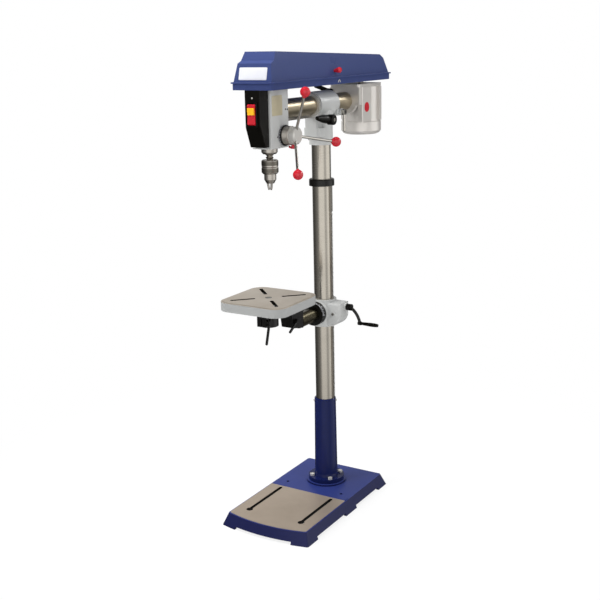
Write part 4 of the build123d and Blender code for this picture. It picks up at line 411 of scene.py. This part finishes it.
# Marks on a ring: each is a thin slab over the angles turn +- halfTurn, the widths start to end along
# the ring's axis, and radius - proud to radius + proud; its four sides are one closed loop
def ringMarks(centre, axis, radius, turns, halfTurn, starts, ends, proud=0.25):
    axis, side, other = crossAxes(axis)
    grids = []
    for turn, first, last in zip(turns, starts, ends):
        angle = turn + halfTurn * np.array([-1, 1, 1, -1])
        reach = radius + proud * np.array([1, 1, -1, -1])
        ring = np.cos(angle)[:, None] * side + np.sin(angle)[:, None] * other
        loop = reach[:, None] * ring
        middle = loop.mean(0)
        along = np.array([first, first, last, last])[:, None, None] * axis
        rows = np.stack([np.tile(middle, (4, 1)), loop, loop, np.tile(middle, (4, 1))])
        grids.append((np.array(centre, float) + along + rows) / 1000)
    return grids


# Tube: a ring of some radius carried along a path, square to it:
# point = path + radius * (cos * side + sin * other). At both ends it shrinks to the path, which closes it.
def tubeGrid(points, radius, steps=12):
    points = np.array(points, float)
    along = np.gradient(points, axis=0)
    along /= np.linalg.norm(along, axis=1)[:, None]
    side = np.cross(along, (0.31, 0.17, 0.94))  # a direction that no path here follows
    side /= np.linalg.norm(side, axis=1)[:, None]
    other = np.cross(along, side)
    turn = np.linspace(0, 2 * np.pi, steps, endpoint=False)[:, None]
    ring = np.cos(turn) * side[:, None] + np.sin(turn) * other[:, None]
    rows = points[:, None] + np.broadcast_to(radius, len(points))[:, None, None] * ring
    ends = [np.tile(points[spot], (1, steps, 1)) for spot in (0, -1)]
    return np.concatenate([ends[0], rows, ends[1]]) / 1000


# Camera at the photo's angle: worked out from the machine's own edges
cameraPlace = {"eye": (1.8430, -3.1505, 1.6843), "turn": 31.683, "pitch": 14.339, "roll": -1.262,
               "lens": 61.72, "sensor": 36}
turn, pitch, roll = np.radians([cameraPlace["turn"], cameraPlace["pitch"], cameraPlace["roll"]])
ahead = np.array([-np.sin(turn) * np.cos(pitch), np.cos(turn) * np.cos(pitch), -np.sin(pitch)])
level = np.array([np.cos(turn), np.sin(turn), 0])
above = np.cross(level, ahead)
rightWay = np.cos(roll) * level + np.sin(roll) * above
upWay = -np.sin(roll) * level + np.cos(roll) * above
lens = bpy.data.cameras.new("studioCamera")
lens.lens = cameraPlace["lens"]
lens.sensor_width = cameraPlace["sensor"]
lens.sensor_fit = "HORIZONTAL"
camera = bpy.data.objects.new("studioCamera", lens)
scene.collection.objects.link(camera)
camera.matrix_world = Matrix([[*row, place] for row, place in zip(
    np.stack([rightWay, upWay, -ahead], 1).tolist(), cameraPlace["eye"])] + [[0, 0, 0, 1]])
scene.camera = camera
print("camera set")

# Motor lead, from the motor's web up behind the head bracket and along under the pan to the head
motorLead = {"diameter": 0.007, "length": 0.477, "points": [
    (-0.054, 0.192, 1.4920), (-0.054, 0.152, 1.4920), (-0.057, 0.110, 1.5040), (-0.060, 0.069, 1.5160),
    (-0.061, 0.014, 1.5204), (-0.060, -0.046, 1.5208), (-0.056, -0.106, 1.5204), (-0.046, -0.165, 1.5208),
    (-0.032, -0.223, 1.5182), (-0.032, -0.279, 1.5182)]}
leadPoints = np.hstack([motorLead["points"], np.ones((len(motorLead["points"]), 1))])
curve = bpy.data.curves.new("motorLead", "CURVE")
curve.dimensions = "3D"
curve.bevel_depth = motorLead["diameter"] / 2
curve.bevel_resolution = 4
curve.use_fill_caps = True
spline = curve.splines.new("NURBS")
spline.points.add(len(leadPoints) - 1)
spline.points.foreach_set("co", leadPoints.ravel())
spline.order_u = 3
spline.use_endpoint_u = True
spline.resolution_u = 12
curve.materials.append(finishes["blackRubber"])
lead = bpy.data.objects.new("motorLead", curve)
scene.collection.objects.link(lead)
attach(lead, "head")
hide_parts("motor_cable")

# The lead's own line, in mm, for the pieces that sit on it
plainCurve = curve.copy()
plainCurve.bevel_depth = 0
plainLead = bpy.data.objects.new("plainLead", plainCurve)
lineMesh = bpy.data.meshes.new_from_object(plainLead)
leadLine = np.empty(len(lineMesh.vertices) * 3)
lineMesh.vertices.foreach_get("co", leadLine)
leadLine = leadLine.reshape(-1, 3) * 1000
bpy.data.objects.remove(plainLead)
bpy.data.curves.remove(plainCurve)
bpy.data.meshes.remove(lineMesh)

# Ribbed loom over the lead behind the head bracket: radius = middle + ripple * cos(2 pi * length / pitch)
leadLoom = {"from": 70, "to": 172, "radius": 7.2, "ripple": 0.8, "pitch": 5.0, "rings": 160}
stretch = leadLine[(leadLine[:, 1] > leadLoom["from"]) & (leadLine[:, 1] < leadLoom["to"])]
run = np.concatenate([[0], np.cumsum(np.linalg.norm(np.diff(stretch, axis=0), axis=1))])
fine = np.linspace(0, run[-1], leadLoom["rings"])
loomPath = np.stack([np.interp(fine, run, stretch[:, axis]) for axis in range(3)], -1)
loomRadius = leadLoom["radius"] + leadLoom["ripple"] * np.cos(2 * np.pi * fine / leadLoom["pitch"])
loom = addPiece("leadLoom", gridMesh("leadLoom", [tubeGrid(loomPath, loomRadius, steps=20)]),
                "blackMouldedPlastic", "head")

# Saddles that hold the lead up to the pan: a strap bent over it, both feet on the pan's underside.
# The strap's line runs flat, under the lead in a half circle, and flat again; its section is square to it.
leadSaddle = {"spots": [-10, -95, -180], "underside": 1525.0, "wide": 8.0, "foot": 6.0, "thick": 0.8,
              "clear": 0.4}
arc = np.linspace(0, np.pi, 13)
bow = motorLead["diameter"] * 1000 / 2 + leadSaddle["clear"]
flat = leadSaddle["underside"] - leadSaddle["thick"] / 2
section = np.array([(-1, -1), (1, -1), (1, 1), (-1, 1)]) / 2  # wide by thick
strapGrids = []
for spot in leadSaddle["spots"]:
    middle = leadLine[np.abs(leadLine[:, 1] - spot).argmin()]
    acrossStrap = np.concatenate([[-bow - leadSaddle["foot"], -bow - 1], -bow * np.cos(arc),
                                  [bow + 1, bow + leadSaddle["foot"]]])
    downStrap = np.concatenate([[flat, flat], np.minimum(middle[2] - bow * np.sin(arc), flat), [flat, flat]])
    outwards = np.gradient(np.stack([acrossStrap, downStrap], -1), axis=0)
    outwards /= np.linalg.norm(outwards, axis=1)[:, None]
    rows = np.stack([
        middle[0] + acrossStrap[:, None] + section[:, 1] * leadSaddle["thick"] * outwards[:, 1:],
        np.broadcast_to(spot + section[:, 0] * leadSaddle["wide"], (len(acrossStrap), 4)),
        downStrap[:, None] - section[:, 1] * leadSaddle["thick"] * outwards[:, :1]], -1)
    caps = [np.tile(rows[end].mean(0), (1, 4, 1)) for end in (0, -1)]
    strapGrids.append(np.concatenate([caps[0], rows, caps[1]]) / 1000)
addPiece("leadSaddles", gridMesh("leadSaddles", strapGrids), "zincScrew", "head")
print("lead drawn")

# Bare plate on the cover's front: thin sheet on the leaning lower face
frontPlate = {"centre": (-0.8, -414.15, 1575.7), "size": (105, 39.5), "thick": 0.8, "rim": 0.4,
              "lean": (0, 13, 57.2), "squareness": 26}
leanUp = np.array(frontPlate["lean"]) / np.linalg.norm(frontPlate["lean"])
edge = plateEdge(max(frontPlate["size"]), frontPlate["thick"], frontPlate["rim"])
plate = plateGrid(frontPlate["centre"], (1, 0, 0), leanUp, *frontPlate["size"], edge,
                  frontPlate["squareness"])
addPiece("frontPlate", gridMesh("frontPlate", [plate]), "whitePlate", "lid")

# Bare data plate on the head's right side
dataPlate = {"centre": (38.0, -340.0, 1473.5), "size": (62, 64), "thick": 0.6, "rim": 0.3, "squareness": 30}
edge = plateEdge(max(dataPlate["size"]), dataPlate["thick"], dataPlate["rim"])
plate = plateGrid(dataPlate["centre"], (0, 1, 0), (0, 0, 1), *dataPlate["size"], edge,
                  dataPlate["squareness"])
addPiece("dataPlate", gridMesh("dataPlate", [plate]), "beigePlate", "head")

# Plain red disc on the motor's terminal cover
redDisc = {"centre": (64.0, 225.0, 1432.0), "radius": 18, "thick": 0.7, "rim": 0.3}
discProfile = [(0, 0), (redDisc["radius"], 0), (redDisc["radius"], redDisc["thick"] - redDisc["rim"]),
               (redDisc["radius"] - redDisc["rim"], redDisc["thick"]), (0, redDisc["thick"])]
addPiece("redDisc", gridMesh("redDisc", [turnedGrid(discProfile, redDisc["centre"], (1, 0, 0))]),
         "redPhenolic", "head")
print("plates made")

# Frame round the switch's rocker: one section, square outside and rounded on its lip, carried round
switchBezel = {"centre": (0, -425, 1450), "size": (39.4, 79.6), "lip": 4.6, "tall": 6.0, "squareness": 16}
lip, tall = switchBezel["lip"], switchBezel["tall"]
bezelProfile = [(0, -0.2), (0, tall - 1.2), (0.4, tall - 0.4), (1.2, tall), (lip - 1.0, tall),
                (lip - 0.3, tall - 0.3), (lip, tall - 1.0), (lip, -0.2), (0, -0.2)]
bezel = plateGrid(switchBezel["centre"], (1, 0, 0), (0, 0, 1), *switchBezel["size"], bezelProfile,
                  switchBezel["squareness"], steps=96)
addPiece("switchBezel", gridMesh("switchBezel", [bezel]), "blackMouldedPlastic", "head")

# Small turned pieces, each a profile of (radius, height) round its own axis. Few steps make flat sides:
# the depth pointer above the feed hub has three corners, the socket in the ram lock's hub has six.
panHead = [(0, -0.2), (2.8, -0.2), (2.8, 0.7), (2.3, 1.5), (1.2, 2.0), (0, 2.1)]
socketHead = [(0, -0.2), (2.9, -0.2), (2.9, 0.6), (2.5, 1.0), (1.5, 1.0), (1.4, 0.2), (0, 0.2)]
rivetHead = [(0, 0), (1.5, 0), (1.5, 0.3), (1.0, 0.8), (0, 1.0)]
pointerFace = [(0, -0.2), (3.6, -0.2), (3.6, 0.7), (2.8, 1.2), (0, 1.2)]
socketFloor = [(0, -0.2), (4.2, -0.2), (4.2, 0.2), (3.8, 0.35), (0, 0.35)]
smallTurnings = {
    "switchScrew": {"spots": [(0, -425, 1501)], "axis": (0, -1, 0), "profile": panHead, "steps": 24,
                    "finish": "zincScrew", "body": "head", "slot": "machined_steel"},
    "headSetScrews": {"spots": [(38, -290, 1458.7), (38, -278.6, 1457.9)], "axis": (1, 0, 0),
                      "profile": socketHead, "steps": 24,
                      "finish": "blackedSteel", "body": "head", "slot": "black_enamel"},
    "plateRivets": {"spots": [(38.5, y, z) for y in (-367.5, -312.5) for z in (1445, 1502)],
                    "axis": (1, 0, 0), "profile": rivetHead, "steps": 24,
                    "finish": "zincScrew", "body": "head", "slot": "machined_steel"},
    "depthPointer": {"spots": [(38, -341, 1373)], "axis": (1, 0, 0), "profile": pointerFace, "steps": 3,
                     "finish": "blackedSteel", "body": "head", "slot": "black_enamel"},
    "lockSocket": {"spots": [(65.3, 62, 1426)], "axis": (1, 0, 0), "profile": socketFloor, "steps": 6,
                   "finish": "blackedSteel", "body": "ram_clamp", "slot": "black_enamel"},
}
for name, look in smallTurnings.items():
    grids = [turnedGrid(look["profile"], spot, look["axis"], look["steps"]) for spot in look["spots"]]
    addPiece(name, gridMesh(name, grids), look["finish"], look["body"])

# Wire keeper on the pan's side: a round wire carried over a half circle
wireKeeper = {"foot": (76.7, 0.0, 1531.0), "half": 7.0, "rise": 8.0, "wire": 1.3}
arc = np.linspace(0, np.pi, 25)
keeperPath = np.array(wireKeeper["foot"]) + np.stack([
    0 * arc, wireKeeper["half"] * np.cos(arc), wireKeeper["rise"] * np.sin(arc)], -1)
addPiece("wireKeeper", gridMesh("wireKeeper", [tubeGrid(keeperPath, wireKeeper["wire"])]),
         "silverEnamel", "head")

# Graduations: every fifth degree, the fifteenths longer
scaleMarks = {"every": 5, "longEvery": 15, "halfWidth": 0.45}
scales = {
    "tiltMarks": {"centre": (0, 0, 714), "axis": (0, 1, 0), "radius": 42, "near": -79, "short": 8, "long": 14,
                  "span": (180, 360), "finish": "whitePlate", "body": "carriage", "slot": "cast_aluminium"},
    "ramMarks": {"centre": (0, 0, 1456), "axis": (0, 1, 0), "radius": 41, "near": -75.5, "short": 3.5,
                 "long": 6, "span": (180, 360), "finish": "blackedSteel", "body": "head_carrier",
                 "slot": "black_enamel"},
    "depthMarks": {"centre": (0, -303.06, 1376), "axis": (1, 0, 0), "radius": 34, "near": 39, "short": 3.2,
                   "long": 5.5, "span": (0, 355), "finish": "whitePlate", "body": "depth_stop",
                   "slot": "cast_aluminium"},
}
for name, look in scales.items():
    degrees = np.arange(look["span"][0], look["span"][1] + 1, scaleMarks["every"])
    reach = np.where(degrees % scaleMarks["longEvery"] == 0, look["long"], look["short"])
    grids = ringMarks(look["centre"], look["axis"], look["radius"], np.radians(degrees),
                      scaleMarks["halfWidth"] / look["radius"], np.full(len(degrees), look["near"]),
                      look["near"] + reach)
    addPiece(name, gridMesh(name, grids), look["finish"], look["body"])

# Turned ridges on the feed hub: radius = low + rise * |sin(pi * count * share)| ^ blunt over its length
hubRidges = {"centre": (0, -303.06, 1376), "low": 29.2, "rise": 1.5, "blunt": 0.7, "from": 47.0, "to": 69.5,
             "count": 5, "bore": 28.6}
share = np.linspace(0, 1, 61)
wave = np.abs(np.sin(np.pi * hubRidges["count"] * share)) ** hubRidges["blunt"]
ridge = hubRidges["low"] + hubRidges["rise"] * wave
height = hubRidges["from"] + (hubRidges["to"] - hubRidges["from"]) * share
bore = hubRidges["bore"]
hubProfile = [(bore, height[0]), *zip(ridge, height), (bore, height[-1]), (bore, height[0])]
ridged = turnedGrid(hubProfile, hubRidges["centre"], (1, 0, 0), steps=72)
addPiece("hubRidges", gridMesh("hubRidges", [ridged]), "turnedSteel", "feed")

# Knurling: two families of ridges lean against each other; radius = base + depth * the higher of
# |cos(n (turn + lean z))| and |cos(n (turn - lean z))|. Real ridges are 1 mm apart, drawn at about 2.4 mm.
knurlBands = {"middleY": -333, "radius": 27.45, "depth": 0.5, "wall": 0.8, "ridges": 36, "lean": 0.045,
              "bands": {"chuckTopKnurl": ("spindle_set", 1281.4, 1294.4),
                        "chuckRingKnurl": ("chuck_ring", 1258.4, 1271.4)}}
turn = np.linspace(0, 2 * np.pi, 12 * knurlBands["ridges"], endpoint=False)
for name, (body, low, high) in knurlBands["bands"].items():
    z = np.linspace(low, high, 15)[:, None]
    lean = knurlBands["lean"] * (z - low)
    lines = [np.abs(np.cos(knurlBands["ridges"] * (turn + way * lean))) for way in (1, -1)]
    radius = knurlBands["radius"] + knurlBands["depth"] * np.maximum(*lines)
    inner = np.full((1, len(turn)), knurlBands["radius"] - knurlBands["wall"])
    radius = np.concatenate([inner, radius, inner, inner])
    z = np.concatenate([[[low]], z, [[high]], [[low]]])
    grid = np.stack([radius * np.cos(turn), knurlBands["middleY"] + radius * np.sin(turn),
                     np.broadcast_to(z, radius.shape)], -1) / 1000
    addPiece(name, gridMesh(name, [grid]), "knurledSteel", body)

# Cooling ribs down the motor's can, away from its web and lugs
motorRibs = {"centre": (0, 300, 0), "radius": 72.5, "turns": np.arange(195, 346, 12.5), "half": 1.3,
             "from": 1381, "to": 1499, "proud": 1.8}
count = len(motorRibs["turns"])
grids = ringMarks(motorRibs["centre"], (0, 0, 1), motorRibs["radius"], np.radians(motorRibs["turns"]),
                  motorRibs["half"] / motorRibs["radius"], np.full(count, motorRibs["from"]),
                  np.full(count, motorRibs["to"]), motorRibs["proud"])
addPiece("motorRibs", gridMesh("motorRibs", grids), "silverEnamel", "head")
print("details made")

# Studio: pale floor that fades to plain white away from the machine, and stays dark under the hollow base
floorLook = {"half": 9.0, "shade": "#F4F4F4", "nearGlow": 0.80, "near": 0.5, "far": 1.5,
             "under": {"middle": (0.0, -0.148, 0.0), "half": (0.162, 0.275)}}
half = floorLook["half"]
floorMesh = bpy.data.meshes.new("studioFloor")
floorMesh.from_pydata([(-half, -half, 0), (half, -half, 0), (half, half, 0), (-half, half, 0)], [],
                      [(0, 1, 2, 3)])
floor = bpy.data.objects.new("studioFloor", floorMesh)
scene.collection.objects.link(floor)
material = bpy.data.materials.new("paleFloor")
material.use_nodes = True
tree = material.node_tree
tree.nodes.clear()
rays = addNode(tree, "ShaderNodeLightPath")
place = addNode(tree, "ShaderNodeTexCoord").outputs["Object"]
away = addNode(tree, "ShaderNodeVectorMath", {"operation": "LENGTH"}, {0: place})
fade = addNode(tree, "ShaderNodeMapRange", {"interpolation_type": "SMOOTHSTEP"}, {
    "Value": away.outputs["Value"], 1: floorLook["near"], 2: floorLook["far"],
    3: floorLook["nearGlow"], 4: 1.0})
matte = addNode(tree, "ShaderNodeBsdfDiffuse", None, {"Color": linearColour(floorLook["shade"])})
glow = addNode(tree, "ShaderNodeEmission", None, {"Color": (1, 1, 1, 1), "Strength": 1.0})
offset = addNode(tree, "ShaderNodeVectorMath", {"operation": "SUBTRACT"}, {
    0: place, 1: floorLook["under"]["middle"]})
fromBase = addNode(tree, "ShaderNodeVectorMath", {"operation": "ABSOLUTE"}, {0: offset.outputs[0]})
sides = addNode(tree, "ShaderNodeSeparateXYZ", None, {"Vector": fromBase.outputs[0]})
pastSide = addNode(tree, "ShaderNodeMath", {"operation": "GREATER_THAN"}, {
    0: sides.outputs["X"], 1: floorLook["under"]["half"][0]})
pastEnd = addNode(tree, "ShaderNodeMath", {"operation": "GREATER_THAN"}, {
    0: sides.outputs["Y"], 1: floorLook["under"]["half"][1]})
clearOf = addNode(tree, "ShaderNodeMath", {"operation": "MAXIMUM"}, {
    0: pastSide.outputs[0], 1: pastEnd.outputs[0]})
openFloor = addNode(tree, "ShaderNodeMath", {"operation": "MULTIPLY"}, {
    0: clearOf.outputs[0], 1: fade.outputs[0]})
seen = addNode(tree, "ShaderNodeMath", {"operation": "MULTIPLY"}, {
    0: rays.outputs["Is Camera Ray"], 1: openFloor.outputs[0]})
mixed = addNode(tree, "ShaderNodeMixShader", None, {
    0: seen.outputs[0], 1: matte.outputs[0], 2: glow.outputs[0]})
addNode(tree, "ShaderNodeOutputMaterial", None, {"Surface": mixed.outputs[0]})
floorMesh.materials.append(material)
floor.visible_glossy = False  # shiny faces see the walls' foot there

# Surround: white to the eye, even to matt surfaces. Shiny ones see the studio's walls: a tall white
# screen behind the camera, a second one to its right, dark walls elsewhere, a grey backdrop, and a
# ceiling that darkens upwards. walls gives (turn, light) and heights gives (rise, light), where
# turn = arctan2(dot(way, right), dot(way, front)) in degrees, and rise is the height of the way.
surround = {"front": (0.525, -0.851, 0), "right": (0.851, 0.525, 0), "matt": 0.68, "boost": 1.5,
            "walls": [(-180, 0.10), (-150, 0.06), (-105, 0.07), (-80, 0.16), (-48, 0.28), (-34, 1.0),
                      (24, 1.0), (34, 0.50), (50, 0.55), (64, 1.0), (105, 1.0), (114, 0.10), (150, 0.08),
                      (180, 0.10)],
            "heights": [(-1.0, 0.35), (-0.42, 0.45), (-0.2, 1.0), (0.4, 1.0), (0.8, 0.3)],
            "backdrop": {"from": -0.80, "to": -0.93, "light": 0.45}}
world = bpy.data.worlds.new("studioSurround")
world.use_nodes = True
scene.world = world
tree = world.node_tree
tree.nodes.clear()
rays = addNode(tree, "ShaderNodeLightPath")
way = addNode(tree, "ShaderNodeTexCoord").outputs["Generated"]
axes = addNode(tree, "ShaderNodeSeparateXYZ", None, {"Vector": way})
frontward = addNode(tree, "ShaderNodeVectorMath", {"operation": "DOT_PRODUCT"}, {
    0: way, 1: surround["front"]})
rightward = addNode(tree, "ShaderNodeVectorMath", {"operation": "DOT_PRODUCT"}, {
    0: way, 1: surround["right"]})
turned = addNode(tree, "ShaderNodeMath", {"operation": "ARCTAN2"}, {
    0: rightward.outputs["Value"], 1: frontward.outputs["Value"]})
turnShare = addNode(tree, "ShaderNodeMapRange", None, {"Value": turned.outputs[0], 1: -np.pi, 2: np.pi})
riseShare = addNode(tree, "ShaderNodeMapRange", None, {"Value": axes.outputs["Z"], 1: -1.0, 2: 1.0})
walls = addNode(tree, "ShaderNodeValToRGB", None, {"Fac": turnShare.outputs[0]})
heights = addNode(tree, "ShaderNodeValToRGB", None, {"Fac": riseShare.outputs[0]})
for ramp, stops, low, high in ((walls, surround["walls"], -180, 180), (heights, surround["heights"], -1, 1)):
    while len(ramp.color_ramp.elements) < len(stops):
        ramp.color_ramp.elements.new(0.5)
    for element, (spot, light) in zip(ramp.color_ramp.elements, stops):
        element.position = (spot - low) / (high - low)
        element.color = (light, light, light, 1)
seenWall = addNode(tree, "ShaderNodeVectorMath", {"operation": "MULTIPLY"}, {
    0: walls.outputs[0], 1: heights.outputs[0]})
lifted = addNode(tree, "ShaderNodeVectorMath", {"operation": "SCALE"}, {
    0: seenWall.outputs[0], "Scale": surround["boost"]})
backdrop = addNode(tree, "ShaderNodeMapRange", None, {
    "Value": frontward.outputs["Value"], 1: surround["backdrop"]["from"], 2: surround["backdrop"]["to"],
    3: 0.0, 4: surround["backdrop"]["light"]})
allWalls = addNode(tree, "ShaderNodeVectorMath", {"operation": "ADD"}, {
    0: lifted.outputs[0], 1: backdrop.outputs[0]})
room = addNode(tree, "ShaderNodeBackground", None, {"Color": (1, 1, 1, 1), "Strength": surround["matt"]})
mirrored = addNode(tree, "ShaderNodeBackground", None, {"Color": allWalls.outputs[0], "Strength": 1.0})
white = addNode(tree, "ShaderNodeBackground", None, {"Color": (1, 1, 1, 1), "Strength": 1.0})
lit = addNode(tree, "ShaderNodeMixShader", None, {
    0: rays.outputs["Is Glossy Ray"], 1: room.outputs[0], 2: mirrored.outputs[0]})
shown = addNode(tree, "ShaderNodeMixShader", None, {
    0: rays.outputs["Is Camera Ray"], 1: lit.outputs[0], 2: white.outputs[0]})
addNode(tree, "ShaderNodeOutputWorld", None, {"Surface": shown.outputs[0]})

# Soft lamps: three that light matt surfaces and are not mirrored, and a strip that is only mirrored
softboxes = {
    "keyBox": {"place": (-2.2, -2.6, 3.0), "aim": (0, -0.1, 1.0), "size": (1.4, 1.4), "power": 70,
               "shows": False},
    "fillBox": {"place": (3.2, -0.6, 2.2), "aim": (0, 0, 1.0), "size": (0.7, 1.9), "power": 24,
                "shows": False},
    "topBox": {"place": (-0.5, -0.3, 3.5), "aim": (0, 0, 0.6), "size": (1.8, 1.8), "power": 74,
               "shows": False},
    "stripBox": {"place": (1.57, 2.52, 2.55), "aim": (0, -0.1, 1.456), "size": (1.8, 0.60), "power": 22,
                 "shows": True},
}
for name, look in softboxes.items():
    lamp = bpy.data.lights.new(name, "AREA")
    lamp.shape = "RECTANGLE"
    lamp.size, lamp.size_y = look["size"]
    lamp.energy = look["power"]
    box = bpy.data.objects.new(name, lamp)
    scene.collection.objects.link(box)
    box.visible_glossy = look["shows"]
    box.visible_diffuse = not look["shows"]
    box.visible_camera = False
    back = np.array(look["place"]) - np.array(look["aim"])
    back = back / np.linalg.norm(back)
    side = np.cross((0, 0, 1), back)
    side = side / np.linalg.norm(side)
    box.matrix_world = Matrix([[*row, spot] for row, spot in zip(
        np.stack([side, np.cross(back, side), back], 1).tolist(), look["place"])] + [[0, 0, 0, 1]])
scene.view_settings.view_transform = "Standard"
print("studio lit")
